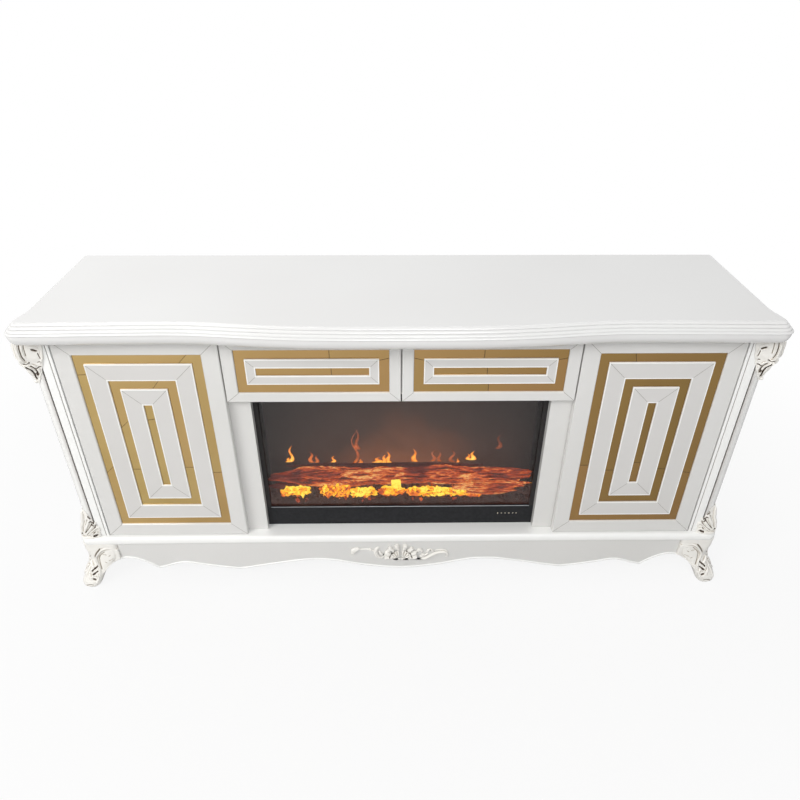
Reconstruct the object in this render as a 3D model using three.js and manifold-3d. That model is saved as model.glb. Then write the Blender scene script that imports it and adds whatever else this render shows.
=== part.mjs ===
// A lacquered television cabinet with an electric fireplace between two cupboards and under two drawers.
// Millimetres, +Z up, the front faces -Y, the origin is on the floor under the middle of the whole piece.
// Everything is laid out from the plane of the door fronts (y = 0) and moved to the origin at the end.

import * as THREE from 'three';
import { mergeVertices } from 'three/addons/utils/BufferGeometryUtils.js';
import Module from 'manifold-3d';

// Clearances
const seatGap = 0.3;            // between pieces that rest on or are let into each other
const runningGap = 0.15;        // round a turning or sliding pin
const overrun = 5;              // how far a cutting body passes the face that it cuts

// Cabinet
const baseUnderside = 170;      // floor to the underside of the base board
const baseThickness = 21;
const frontHeight = 695;        // base board to cornice
const corniceHeight = 39;
const topBoardHeight = 27;
const boardThickness = 18;
const backThickness = 5;
const fireplaceWidth = 840.2;   // clear width between the jambs
const jambWidth = 67.6;
const jambThickness = 22;
const doorWidth = 431.6;
const frontThickness = 22;      // doors and drawer fronts
const frontSetback = 24;        // from the door fronts back to the carcass edges
const carcassDepth = 406;       // from the door fronts to the back edge of the side panels
const backInset = 1;            // back panels stop this far inside the side panels
const frontGap = 3.4;           // between neighbouring fronts
const hingeGap = 3;             // between a door and its post
const edgeGap = 2;              // above and below the doors and drawer fronts

// Corner posts
const postWidth = 70;
const filletWidth = 33;
const grooveWidth = 3;
const grooveDepth = 4;
const sideSetback = 37;         // the side panel lies this far inside the post's outer face

// Top: the plan outline is given at its nose, the widest line of the moulding
const topBackOverhang = 10;
const topFrontOverhang = 58;
const topBowDepth = 32;
const topBowReach = 580;        // from the middle to where the bow runs out
const topEndFlare = 5;
const topCornerOverhang = 4;    // nose beyond the post's outer face at the front corners
const topSideOverhang = 28;     // nose beyond the side panel
const topCornerRadius = 30;
const bowFlatness = 1.8;
const topReedDepth = 27;        // from the nose in to the flat surface
const coveDepth = 36;           // from the nose in to the underside
const noseLip = 3;
const reedSideInsetShare = 0.9; // the reeds step in a little less along the sides than in front
const sideInsetShare = 0.55;    // the other mouldings step in about half as much there
const flareLength = 75;

// Base board
const baseFrontOverhang = 13;
const baseEndFlare = 3;
const baseCornerOverhang = 20;
const baseSideOverhang = 38;
const baseCornerRadius = 26;
const baseNoseDepth = 9;

// Apron and feet
const apronThickness = 18;
const apronFrontOverhang = 5;
const apronDrop = 127;
const footInnerReach = 89;      // from the post's outer face in to the foot's inner side
const footTopSize = 104;
const footSoleSize = 44;
const footToeReach = 52;        // toe centre beyond the foot's centre at the top
const footFrontOverhang = 14;   // foot's front face before the door fronts, at its top
const rearFootReach = 30;
const sideApronDrop = 96;
const sideApronInset = 9;
const rearRailDrop = 80;

// Doors and drawer fronts: mitred lacquered strips stand over a gold mirror
const borderThickness = 8;
const mirrorThickness = 3;
const stripBevel = 2;
const mitreWidth = 1.2;         // fine groove along each mitre
const mitreDepth = 1;
const doorBorderWidth = 45.5;
const doorBorderSide = 47;
const goldRingWidth = 27;
const doorFrameWidth = 51.5;
const drawerFrontDrop = 10;     // the drawer front hangs this far below its rail: the finger grip
const drawerHeight = 194;       // drawer front
const drawerBorderInner = 31;
const drawerBorderOuter = 34;
const drawerBorderBottom = 29.7;
const drawerBorderTop = 32.5;
const drawerFrameWidth = 27;

// Pivot hinges of the doors
const pivotInset = 8;           // from the door's edge and from its front face to the pin
const pivotRadius = 3;
const pivotCollarRadius = 5.5;
const pivotInDoor = 12;
const pivotRoot = 10;           // how deep a pin is set in the board that carries it

// Push latches
const latchWidth = 14;
const latchHeight = 16;
const latchLength = 75;
const latchInset = 5;           // housing behind the carcass edges
const latchDrop = 85;           // below the cornice
const plungerRadius = 4;
const plungerLength = 42;
const plungerTravel = 3;
const plungerTip = 1.5;

// Shelves
const shelfRise = 330;          // above the base board
const shelfSetback = 14;        // behind the posts
const shelfPinRadius = 2.5;
const shelfPinLength = 9;
const shelfPinInset = 50;

// Drawers
const drawerRailThickness = 18;
const drawerSideThickness = 12;
const drawerBottomThickness = 6;
const drawerBoxHeight = 130;
const drawerRearGap = 33;       // from a drawer box back to the panel behind it
const drawerBoxRise = 12;       // above the rail
const runnerThickness = 6;
const runnerHeight = 36;
const runnerRearInset = 2.7;    // runners end this far inside the drawer box's back
const runnerRise = 50;          // runner's lower edge above the rail

// Fireplace
const trimFlange = 12;          // the trim passes behind the jambs by this much
const trimThickness = 6;
const trimSide = 13;            // visible width at each side
const trimBottomBand = 73;
const trimTopBand = 38;
const grilleSlotWidth = 8;
const grilleSlotHeight = 20;
const grilleSlotCount = 24;
const grilleSlotPitch = 16;
const glassThickness = 4;
const glassInset = 3;
const housingDepth = 180;
const housingWall = 3;
const housingInset = 7;         // inside the trim's outer edge
const ventSlotLength = 60;
const ventSlotHeight = 5;
const ventSlotPitch = 78;
const ventRowPitch = 14;
const ventRowCount = 3;
const ventColumnCount = 7;
const emberDepth = 84;
const emberSetback = 8;         // behind the glass
const emberHeight = 122;
const screenThickness = 3;
const screenSetback = 112;      // behind the glass
const screenRise = 30;
const spinnerRadius = 20;
const spinnerShaftRadius = 3;
const spinnerSetback = 146;     // behind the glass
const spinnerRise = 118;        // above the housing floor
const spinnerFlagCount = 16;
const motorRadius = 20;
const motorLength = 30;
const lampWidth = 22;
const lampHeight = 10;
const blowerLength = 330;
const blowerDepth = 46;
const blowerHeight = 36;
const blowerWall = 2.5;
const blowerSetback = 6;
const wheelRadius = 13;
const wheelShaftRadius = 2;
const wheelBladeCount = 18;
const wheelBladeThickness = 1;
const wheelDiscThickness = 2;
const wheelGap = 2;             // between the blower's wheel and its scroll
const blowerMouthShare = 0.8;   // of the wheel's radius
const bladeInnerShare = 0.68;
const bladeOuterShare = 0.97;
const spinnerTurnShare = 0.38;  // of a half turn from each flag to the next
const logRadius = 34;
const inletWidth = 48;
const inletHeight = 28;
const inletDepth = 14;
const inletRim = 5;

// Carvings
const capitalHeight = 134;
const capitalReach = 37;
const capitalSpread = 50;       // half width along the post's surface
const leafHeight = 104;
const leafReach = 29;
const leafSpread = 42;
const carvingFoot = 2.5;        // thickness of a carving at its edges
const carvingGap = 0.6;         // the facets of a carving's back clear the round column
const apronCarvingHalf = 162;
const apronCarvingRise = 76;    // middle of the carving above the lowest point of the apron
const shellLength = 40;
const shellRelief = 15;
const scrollRelief = 9;
const petalCount = 7;
const petalWidth = 19;
const petalReachShare = 1.15;   // of the shell's length, sideways
const petalEndShare = 0.35;     // thickness of a petal at its ends
const stemWidth = 17;
const stemEndShare = 0.4;

// Places that follow from the sizes
const baseTop = baseUnderside + baseThickness;
const corniceUnderside = baseTop + frontHeight;
const topBoardUnderside = corniceUnderside + corniceHeight;
const openingHalf = fireplaceWidth / 2;
const partitionOuter = openingHalf + jambWidth;
const partitionInner = partitionOuter - boardThickness;
const partitionCentre = partitionOuter - boardThickness / 2;
const doorInner = partitionCentre + frontGap / 2;
const doorOuter = doorInner + doorWidth;
const postInner = doorOuter + hingeGap;
const postOuter = postInner + postWidth;
const columnRadius = postWidth - filletWidth - grooveWidth;
const sideOuter = postOuter - sideSetback;
const sideInner = sideOuter - boardThickness;
const doorBottom = baseTop + edgeGap;
const doorTop = corniceUnderside - edgeGap;
const drawerTop = corniceUnderside - edgeGap;
const drawerBottom = drawerTop - drawerHeight;
const drawerInner = frontGap / 2;
const drawerOuter = partitionCentre - frontGap / 2;
const railUnderside = drawerBottom + drawerFrontDrop;
const railTop = railUnderside + drawerRailThickness;
const innerBack = carcassDepth - backInset - backThickness;
const topBackY = carcassDepth + topBackOverhang;
const topFrontY = -topFrontOverhang - topBowDepth;

// Materials
function finish(colour, roughness, metalness = 0, extra = {}) {
  return new THREE.MeshStandardMaterial({ color: colour, roughness, metalness, ...extra });
}

const whiteLacquer = () => finish(0xf1f0ee, 0.22);
const creamCarving = () => finish(0xefe9dd, 0.4);
const goldMirror = () => finish(0xb89a58, 0.08, 1);
const whiteBoard = () => finish(0xe8e6e2, 0.55);
const steel = () => finish(0xb9bcc0, 0.35, 1);
const blackSteel = () => finish(0x151517, 0.45, 0.4);
const smokedGlass = () => finish(0x101012, 0.05, 0, { transparent: true, opacity: 0.35 });
const smokedPlastic = () => finish(0x2a211c, 0.6, 0, { transparent: true, opacity: 0.6 });

// Building helpers
const wasm = await Module();
wasm.setup();

function toManifold(geometry) {
  const bare = geometry.clone();
  bare.deleteAttribute('normal');
  bare.deleteAttribute('uv');
  const merged = mergeVertices(bare);
  return new wasm.Manifold(new wasm.Mesh({
    numProp: 3,
    vertProperties: Float32Array.from(merged.attributes.position.array),
    triVerts: Uint32Array.from(merged.index.array)
  }));
}

function toGeometry(manifold) {
  const mesh = manifold.getMesh();
  const geometry = new THREE.BufferGeometry();
  geometry.setAttribute('position', new THREE.BufferAttribute(Float32Array.from(mesh.vertProperties), 3));
  geometry.setIndex(new THREE.BufferAttribute(Uint32Array.from(mesh.triVerts), 1));
  geometry.computeVertexNormals();
  return geometry;
}

function join(...geometries) {
  return toGeometry(geometries.map(toManifold).reduce((all, next) => all.add(next)));
}

function cut(body, ...tools) {
  return toGeometry(tools.map(toManifold).reduce((rest, tool) => rest.subtract(tool), toManifold(body)));
}

function moved(geometry, x, y, z) {
  return geometry.clone().translate(x, y, z);
}

function mirrored(geometry) {
  const copy = geometry.clone();
  const position = copy.attributes.position;
  for (let i = 0; i < position.count; i++) {
    position.setX(i, -position.getX(i));
  }
  if (!copy.index) {
    copy.setIndex([...Array(position.count).keys()]);
  }
  const index = copy.index;
  for (let i = 0; i < index.count; i += 3) {
    const first = index.getX(i);
    index.setX(i, index.getX(i + 1));
    index.setX(i + 1, first);
  }
  copy.computeVertexNormals();
  return copy;
}

function block(x0, x1, y0, y1, z0, z1) {
  return new THREE.BoxGeometry(x1 - x0, y1 - y0, z1 - z0)
    .translate((x0 + x1) / 2, (y0 + y1) / 2, (z0 + z1) / 2);
}

function prism(shape, depth, curveSegments) {
  return new THREE.ExtrudeGeometry(shape, { depth, bevelEnabled: false, curveSegments });
}

// A shape drawn in x and z, pushed through from y0 to y1
function prismAlongY(shape, y0, y1, curveSegments = 8) {
  return prism(shape, y1 - y0, curveSegments).rotateX(Math.PI / 2).translate(0, y1, 0);
}

// A shape drawn in y and z, pushed through from x0 to x1
function prismAlongX(shape, x0, x1, curveSegments = 8) {
  const turn = new THREE.Matrix4().makeBasis(
    new THREE.Vector3(0, 1, 0), new THREE.Vector3(0, 0, 1), new THREE.Vector3(1, 0, 0));
  return prism(shape, x1 - x0, curveSegments).applyMatrix4(turn).translate(x0, 0, 0);
}

function prismAlongZ(shape, z0, z1, curveSegments = 8) {
  return prism(shape, z1 - z0, curveSegments).translate(0, 0, z0);
}

function polygon(points) {
  return new THREE.Shape(points.map(([a, b]) => new THREE.Vector2(a, b)));
}

// A round bar along x, y or z between two places on that axis
function bar(axis, radius, from, to, sides = 16) {
  const cylinder = new THREE.CylinderGeometry(radius, radius, to - from, sides);
  if (axis === 'x') {
    return cylinder.rotateZ(Math.PI / 2).translate((from + to) / 2, 0, 0);
  }
  if (axis === 'z') {
    return cylinder.rotateX(Math.PI / 2).translate(0, 0, (from + to) / 2);
  }
  return cylinder.translate(0, (from + to) / 2, 0);
}

// The corner radius of a many-sided hole that clears a round pin by the running gap
function holeRadius(pinRadius, sides = 16) {
  return (pinRadius + runningGap) / Math.cos(Math.PI / sides);
}

function ringMiddle(ring) {
  return [0, 1, 2].map((axis) => ring.reduce((sum, point) => sum + point[axis], 0) / ring.length);
}

// A closed skin through rings of equal point counts, with a fan at each end
function loft(rings, fanPoint = ringMiddle) {
  const count = rings[0].length;
  const points = rings.flat();
  const faces = [];
  for (let r = 0; r + 1 < rings.length; r++) {
    for (let k = 0; k < count; k++) {
      const a = r * count + k;
      const b = r * count + (k + 1) % count;
      faces.push(a, b, b + count, a, b + count, a + count);
    }
  }
  const ends = [[rings[0], 0, true], [rings[rings.length - 1], (rings.length - 1) * count, false]];
  for (const [ring, start, flip] of ends) {
    points.push(fanPoint(ring));
    for (let k = 0; k < count; k++) {
      const a = start + k;
      const b = start + (k + 1) % count;
      faces.push(...(flip ? [b, a, points.length - 1] : [a, b, points.length - 1]));
    }
  }
  let volume = 0;
  for (let i = 0; i < faces.length; i += 3) {
    const [p, q, s] = [0, 1, 2].map((k) => new THREE.Vector3(...points[faces[i + k]]));
    volume += p.dot(q.cross(s));
  }
  if (volume < 0) {
    faces.reverse();
  }
  const geometry = new THREE.BufferGeometry();
  geometry.setAttribute('position', new THREE.Float32BufferAttribute(points.flat(), 3));
  geometry.setIndex(faces);
  geometry.computeVertexNormals();
  return geometry;
}

function smooth(t) {
  const s = Math.min(Math.max(t, 0), 1);
  return s * s * (3 - 2 * s);
}

// Reads a table of [place, value, value...] rows at a place between its first and last
function tableAt(table, place) {
  let row = 0;
  while (row + 2 < table.length && place > table[row + 1][0]) {
    row++;
  }
  const [low, high] = [table[row], table[row + 1]];
  const t = smooth((place - low[0]) / (high[0] - low[0]));
  return low.slice(1).map((value, k) => value + (high[k + 1] - value) * t);
}

const cabinet = new THREE.Group();

function add(name, geometry, material, parent = cabinet) {
  const mesh = new THREE.Mesh(geometry, material);
  mesh.name = name;
  parent.add(mesh);
  return mesh;
}

// The right-hand piece and its mirror image
function addPair(name, geometry, material, parent = cabinet) {
  add(`right_${name}`, geometry, material(), parent);
  add(`left_${name}`, mirrored(geometry), material(), parent);
}

// Moulded slabs: the top board, the cornice under it and the base board

// The front line's place at x: flat ends that swell forward a little, and a bow in the middle
function frontLine(slab, x) {
  const t = Math.abs(x) / slab.bowReach;
  const bow = t < 1 ? Math.cos(Math.PI / 2 * t ** bowFlatness) ** 2 : 0;
  const flare = smooth((Math.abs(x) - slab.bowReach) / (slab.cornerHalf - slab.bowReach));
  return -slab.frontOverhang - slab.bowDepth * bow - slab.endFlare * flare;
}

// The outline in plan, stepped in from the nose by inset, from the left back corner round the front
function slabOutline(slab, inset) {
  const sideStep = inset * slab.insetShare;
  const radius = slab.cornerRadius - sideStep;
  const arcX = slab.cornerHalf - sideStep - radius;
  const arcY = frontLine(slab, arcX) + inset + radius;
  const flareStart = arcY + flareLength;
  const half = [[slab.sideHalf - sideStep, slab.backY]];
  for (let k = 0; k < slab.flareSteps; k++) {
    const t = k / slab.flareSteps;
    const swell = (slab.cornerHalf - slab.sideHalf) * smooth(t);
    half.push([slab.sideHalf - sideStep + swell, flareStart - flareLength * t]);
  }
  for (let k = 0; k <= slab.cornerSteps; k++) {
    const turn = Math.PI / 2 * k / slab.cornerSteps;
    half.push([arcX + radius * Math.cos(turn), arcY - radius * Math.sin(turn)]);
  }
  for (let k = 1; k < slab.frontSteps; k++) {
    const x = arcX * (1 - k / slab.frontSteps);
    half.push([x, frontLine(slab, x) + inset]);
  }
  const middle = [0, frontLine(slab, 0) + inset];
  const left = half.slice().reverse().map(([x, y]) => [-x, y]);
  return [...half, middle, ...left];
}

function mouldedSlab(slab, profile) {
  return loft(profile.map(([inset, z]) => slabOutline(slab, inset).map(([x, y]) => [x, y, z])));
}

const topSlab = {
  cornerHalf: postOuter + topCornerOverhang,
  sideHalf: sideOuter + topSideOverhang,
  frontOverhang: topFrontOverhang,
  bowDepth: topBowDepth,
  bowReach: topBowReach,
  endFlare: topEndFlare,
  backY: topBackY,
  cornerRadius: topCornerRadius,
  insetShare: reedSideInsetShare,
  flareSteps: 5,
  cornerSteps: 6,
  frontSteps: 18
};

const baseSlab = {
  cornerHalf: postOuter + baseCornerOverhang,
  sideHalf: sideOuter + baseSideOverhang,
  frontOverhang: baseFrontOverhang,
  bowDepth: 0,
  bowReach: topBowReach,
  endFlare: baseEndFlare,
  backY: carcassDepth,
  cornerRadius: baseCornerRadius,
  insetShare: sideInsetShare,
  flareSteps: 5,
  cornerSteps: 6,
  frontSteps: 6
};

// Three fine reeds between the flat surface and the nose, as shares of the reeds' depth and the board
const reedShares = [
  [1, 1], [0.8, 0.96], [0.74, 0.82], [0.52, 0.76], [0.46, 0.6],
  [0.22, 0.52], [0.16, 0.36], [0.02, 0.2], [0, 0.08], [0.05, 0]
];

function topBoard() {
  const profile = reedShares.map(([inShare, upShare]) => [
    topReedDepth * inShare,
    topBoardUnderside + topBoardHeight * upShare
  ]);
  return mouldedSlab(topSlab, profile);
}

// A quarter hollow from the lip under the nose in to the underside
function cornice() {
  const hollowHeight = corniceHeight - 2 * noseLip;
  const hollowDepth = coveDepth - noseLip;
  const profile = [[noseLip, topBoardUnderside]];
  const steps = 5;
  for (let k = 0; k <= steps; k++) {
    const turn = Math.PI / 2 * k / steps;
    profile.push([
      noseLip + hollowDepth * (1 - Math.cos(turn)),
      topBoardUnderside - noseLip - hollowHeight * Math.sin(turn)
    ]);
  }
  profile.push([coveDepth, corniceUnderside]);
  const reach = edgeGap + pivotInDoor;
  const pin = bar('z', pivotRadius, corniceUnderside - reach, corniceUnderside + pivotRoot);
  const slab = { ...topSlab, insetShare: sideInsetShare };
  return join(mouldedSlab(slab, profile), ...pivotPlaces().map(([x, y]) => moved(pin, x, y, 0)));
}

function baseBoard() {
  const profile = [];
  const steps = 5;
  for (let k = 0; k <= steps; k++) {
    const turn = Math.PI * k / steps;
    profile.push([
      baseNoseDepth * (1 - Math.sin(turn)),
      baseTop - baseThickness * (1 - Math.cos(turn)) / 2
    ]);
  }
  const pin = bar('z', pivotRadius, baseTop - pivotRoot, baseTop + edgeGap + pivotInDoor);
  const collar = bar('z', pivotCollarRadius, baseTop - pivotRoot, baseTop + edgeGap - seatGap);
  const pivots = pivotPlaces().flatMap(([x, y]) => [moved(pin, x, y, 0), moved(collar, x, y, 0)]);
  return join(mouldedSlab(baseSlab, profile), ...pivots);
}

// The doors turn on pins at their outer corners
function pivotPlaces() {
  return [1, -1].map((side) => [side * (doorOuter - pivotInset), pivotInset]);
}

// The fixed half of a drawer runner, fast on the board that carries it
const runnerBottom = railTop + runnerRise;
const runnerFront = frontSetback + seatGap;
const runnerBack = innerBack - drawerRearGap - runnerRearInset;

function runnerBetween(x0, x1) {
  return block(x0, x1, runnerFront, runnerBack, runnerBottom, runnerBottom + runnerHeight);
}

// Carcass boards
const boardBottom = baseTop + seatGap;
const boardTop = corniceUnderside - seatGap;

function partition() {
  const jambBack = frontSetback + jambThickness + seatGap;
  const outline = polygon([
    [jambBack, boardBottom], [innerBack - seatGap, boardBottom], [innerBack - seatGap, boardTop],
    [frontSetback, boardTop], [frontSetback, railUnderside + seatGap], [jambBack, railUnderside + seatGap]
  ]);
  const board = prismAlongX(outline, partitionInner, partitionOuter);
  const runner = runnerBetween(partitionInner - runnerThickness, partitionCentre);
  return join(board, runner, latchHousing(), ...shelfPins(partitionCentre, partitionOuter + shelfPinLength));
}

function cornerPost() {
  const shape = new THREE.Shape();
  const shoulder = filletWidth;
  const arcStart = filletWidth + grooveWidth;
  const at = (across, back) => [postInner + across, back];
  shape.moveTo(...at(0, 0));
  shape.lineTo(...at(shoulder, 0));
  shape.lineTo(...at(shoulder, grooveDepth));
  shape.lineTo(...at(arcStart, grooveDepth));
  shape.lineTo(...at(arcStart, 0));
  shape.absarc(...at(arcStart, columnRadius), columnRadius, -Math.PI / 2, 0, false);
  shape.lineTo(...at(postWidth - grooveDepth, columnRadius));
  shape.lineTo(...at(postWidth - grooveDepth, columnRadius + grooveWidth));
  shape.lineTo(...at(postWidth, columnRadius + grooveWidth));
  shape.lineTo(...at(postWidth, postWidth));
  shape.lineTo(...at(0, postWidth));
  return prismAlongZ(shape, boardBottom, boardTop, 5);
}

function sidePanel() {
  const board = block(sideInner, sideOuter, postWidth + seatGap, carcassDepth, boardBottom, boardTop);
  return join(board, ...shelfPins(sideInner - shelfPinLength, (sideInner + sideOuter) / 2));
}

function jamb() {
  return block(openingHalf, partitionOuter, frontSetback, frontSetback + jambThickness,
    boardBottom, railUnderside - seatGap);
}

function cupboardBack() {
  return block(partitionInner + seatGap, sideInner - seatGap, innerBack, innerBack + backThickness,
    boardBottom, boardTop);
}

function drawerSpaceBack() {
  return block(-partitionInner, partitionInner, innerBack, innerBack + backThickness,
    railUnderside, boardTop);
}

function drawerRail() {
  return block(-partitionInner + seatGap, partitionInner - seatGap, frontSetback, innerBack - seatGap,
    railUnderside, railTop);
}

function drawerDivider() {
  const half = boardThickness / 2;
  const board = block(-half, half, frontSetback, innerBack - seatGap, railTop + seatGap, boardTop);
  return join(board, runnerBetween(-half - runnerThickness, half + runnerThickness));
}

// Shelves on pins that stand in the partition and the side panel
const shelfBottom = baseTop + shelfRise;
const shelfFront = postWidth + shelfSetback;
const shelfBack = innerBack - seatGap;

function shelf() {
  return block(partitionOuter + seatGap, sideInner - seatGap, shelfFront, shelfBack,
    shelfBottom, shelfBottom + boardThickness);
}

function shelfPins(x0, x1) {
  const z = shelfBottom - shelfPinRadius - seatGap;
  return [shelfFront + shelfPinInset, shelfBack - shelfPinInset].map((y) =>
    moved(bar('x', shelfPinRadius, x0, x1, 10), 0, y, z));
}

// Aprons, rail and feet
const apronTop = baseUnderside - seatGap;
const footInner = postOuter - footInnerReach;
const footCentre = footInner + footTopSize / 2;
const footCentreY = footTopSize / 2 - footFrontOverhang;
const footBackY = footCentreY + footTopSize / 2;
const rearFootY = carcassDepth - footTopSize / 2;
const apronHalf = footInner - seatGap;

// Lower edge of the front apron from the middle out: [share of the half length, share of the drop]
const apronWaveShares = [
  [0, 1], [0.131, 0.895], [0.24, 0.722], [0.3215, 0.686], [0.4075, 0.769], [0.558, 0.968],
  [0.603, 0.974], [0.7, 0.86], [0.778, 0.757], [0.846, 0.887], [0.875, 0.943]
];
const apronArchShares = [[0.875, 0.943], [0.908, 0.761], [0.949, 0.604], [0.979, 0.572], [1, 0.6]];

function apronEdge(shares, side) {
  return shares.map(([alongShare, dropShare]) =>
    new THREE.Vector2(side * alongShare * apronHalf, apronTop - apronDrop * dropShare));
}

function frontApron() {
  const shape = new THREE.Shape();
  shape.moveTo(-apronHalf, apronTop);
  const leftArch = apronEdge(apronArchShares, -1).reverse();
  const leftWave = apronEdge(apronWaveShares, -1).reverse();
  shape.lineTo(leftArch[0].x, leftArch[0].y);
  shape.splineThru(leftArch.slice(1));
  shape.splineThru([...leftWave.slice(1), ...apronEdge(apronWaveShares, 1).slice(1)]);
  shape.splineThru(apronEdge(apronArchShares, 1).slice(1));
  shape.lineTo(apronHalf, apronTop);
  const front = -apronFrontOverhang;
  return prismAlongY(shape, front, front + apronThickness, 3);
}

// Side aprons run between the front and rear feet with one long arch
function sideApron() {
  const y0 = footBackY + seatGap;
  const y1 = rearFootY - footTopSize / 2 - seatGap;
  const lowest = apronTop - sideApronDrop;
  const crown = apronTop - sideApronDrop / 2;
  const shape = new THREE.Shape();
  shape.moveTo(y0, apronTop);
  shape.lineTo(y0, lowest);
  shape.bezierCurveTo(y0 + (y1 - y0) / 4, crown, y1 - (y1 - y0) / 4, crown, y1, lowest);
  shape.lineTo(y1, apronTop);
  const outer = postOuter - sideApronInset;
  return prismAlongX(shape, outer - apronThickness, outer, 10);
}

function rearRail() {
  const half = footInner - seatGap;
  return block(-half, half, carcassDepth - boardThickness, carcassDepth, apronTop - rearRailDrop, apronTop);
}

// A cabriole foot: [height share, size share between sole and top, reach share, cant share]
const footShares = [
  [0, 0, 1.08, 1.5], [0.05, 0.25, 1.06, 1.5], [0.14, 0.37, 1, 1.4], [0.24, 0.4, 0.86, 1.2],
  [0.33, 0.44, 0.7, 1.05], [0.47, 0.62, 0.42, 0.92], [0.6, 0.88, 0.17, 0.85], [0.74, 1, 0.04, 0.8],
  [0.88, 0.92, 0, 0.8], [1, 1, 0, 0.8]
];
const soleSquareness = 2.4;
const topSquareness = 7.4;

// How far a section reaches at a turn: a rounded square, its knee cut across at cant times half its side
function footSection(turn, half, cant, squareness) {
  const [c, s] = [Math.cos(turn), Math.sin(turn)];
  const knee = Math.max(0, (c - s) * Math.SQRT1_2) / (half * cant);
  const faces = [Math.abs(c) / half, Math.abs(s) / half, knee];
  return faces.reduce((sum, face) => sum + face ** squareness, 0) ** (-1 / squareness);
}

// Only a foot that reaches out of its corner has the knee
function cabrioleFoot(centreX, centreY, reachX, reachY) {
  const sides = 20;
  return loft(footShares.map(([upShare, sizeShare, reachShare, cantShare]) => {
    const half = (footSoleSize + (footTopSize - footSoleSize) * sizeShare) / 2;
    const squareness = soleSquareness + (topSquareness - soleSquareness) * upShare;
    const cant = reachY === 0 ? Infinity : cantShare;
    const ring = [];
    for (let k = 0; k < sides; k++) {
      const turn = 2 * Math.PI * (k + 0.5) / sides;
      const reach = footSection(turn, half, cant, squareness);
      ring.push([
        centreX + reachX * reachShare + reach * Math.cos(turn),
        centreY + reachY * reachShare + reach * Math.sin(turn),
        apronTop * upShare
      ]);
    }
    return ring;
  }));
}

function frontFoot() {
  return cabrioleFoot(footCentre, footCentreY, footToeReach, -footToeReach);
}

// The rear feet flare only sideways, so the back stands against a wall
function rearFoot() {
  return cabrioleFoot(footCentre, rearFootY, rearFootReach, 0);
}

// Carvings that lie on the corner posts

// A place on the post's outer surface, by distance round it from the outer corner's middle
function postSurface(along, out) {
  const quarter = Math.PI / 4 * columnRadius;
  const around = Math.min(Math.max(along, -quarter), quarter);
  const turn = -Math.PI / 4 + around / columnRadius;
  const [nx, ny] = [Math.cos(turn), Math.sin(turn)];
  const rest = along - around;
  return [
    postOuter - columnRadius + (columnRadius + out) * nx - rest * ny,
    columnRadius + (columnRadius + out) * ny + rest * nx
  ];
}

// A fluted leaf wrapped on the post: rows of [share down from the top, spread share, reach share]
const crownFallShare = 0.97;    // how far the leaf falls away to its sides
const fluteShare = 0.2;
const fanReachShare = 0.75;     // a carving's section is bent: its fan starts from under the ridge

function postCarving(top, height, spread, reach, shares, flutes) {
  const rings = [];
  const across = 10;
  const rows = 10;
  for (let r = 0; r <= rows; r++) {
    const downShare = r / rows;
    const [spreadShare, reachShare] = tableAt(shares, downShare);
    const ring = [];
    for (let k = 0; k <= across; k++) {
      const t = 2 * k / across - 1;
      const crown = Math.sqrt(1 - t * t * crownFallShare);
      const flute = 1 - fluteShare + fluteShare * Math.cos(Math.PI * flutes * t);
      ring.push([t * spread * spreadShare, carvingGap + carvingFoot + reach * reachShare * crown * flute]);
    }
    for (let k = across; k >= 0; k--) {
      ring.push([(2 * k / across - 1) * spread * spreadShare, carvingGap]);
    }
    rings.push(ring.map(([along, out]) => [...postSurface(along, out), top - height * downShare]));
  }
  return loft(rings, (ring) => {
    const [ridge, back] = [ring[across / 2], ring[ring.length - 1 - across / 2]];
    return back.map((value, axis) => value + (ridge[axis] - value) * fanReachShare);
  });
}

const capitalShares = [
  [0, 0.96, 0.8], [0.15, 1, 0.9], [0.36, 0.8, 1], [0.52, 0.72, 0.92], [0.68, 0.6, 0.55], [0.85, 0.4, 0.3],
  [1, 0.2, 0.12]
];
const leafShares = [[0, 0.4, 0.3], [0.3, 0.75, 0.5], [0.62, 0.95, 0.92], [0.85, 1, 1], [1, 0.98, 0.95]];

function postCapital() {
  return postCarving(boardTop, capitalHeight, capitalSpread, capitalReach, capitalShares, 3);
}

function postLeaf() {
  return postCarving(boardBottom + leafHeight, leafHeight, leafSpread, leafReach, leafShares, 5);
}

// A raised stem that lies on a face looking along -Y: half-round section, thickest in its middle
function stem(points, faceY, width, relief, endShare) {
  const curve = new THREE.CatmullRomCurve3(points.map(([x, z]) => new THREE.Vector3(x, 0, z)));
  const steps = 7;
  const arcs = 3;
  const rings = [];
  for (let k = 0; k <= steps; k++) {
    const t = k / steps;
    const share = endShare + (1 - endShare) * Math.sin(Math.PI * t);
    const place = curve.getPointAt(t);
    const along = curve.getTangentAt(t);
    const ring = [];
    for (let a = 0; a <= arcs; a++) {
      const turn = Math.PI * a / arcs;
      const across = width / 2 * share * Math.cos(turn);
      ring.push([
        place.x - along.z * across,
        faceY - seatGap - carvingFoot - relief * share * Math.sin(turn),
        place.z + along.x * across
      ]);
    }
    for (const side of [-1, 1]) {
      const across = side * width / 2 * share;
      ring.push([place.x - along.z * across, faceY - seatGap, place.z + along.x * across]);
    }
    rings.push(ring);
  }
  return loft(rings);
}

// The apron's carving: a fan of petals with a scrolled leaf at each side, places as shares
const leftScrollShares = [[-0.08, -0.18], [-0.32, -0.3], [-0.44, 0.05], [-0.4, 0.3]];
const leftCurlShares = [[-0.4, 0.1], [-0.6, 0.24], [-0.8, 0.28], [-0.96, 0.1], [-0.88, -0.12]];
const rightLeafShares = [[0.1, -0.3], [0.34, -0.24], [0.56, 0.02], [0.76, 0.18], [0.94, 0.08], [0.92, -0.1]];
const rightCurlShares = [[0.2, 0.1], [0.36, 0.28], [0.5, 0.14], [0.46, -0.1]];

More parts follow.
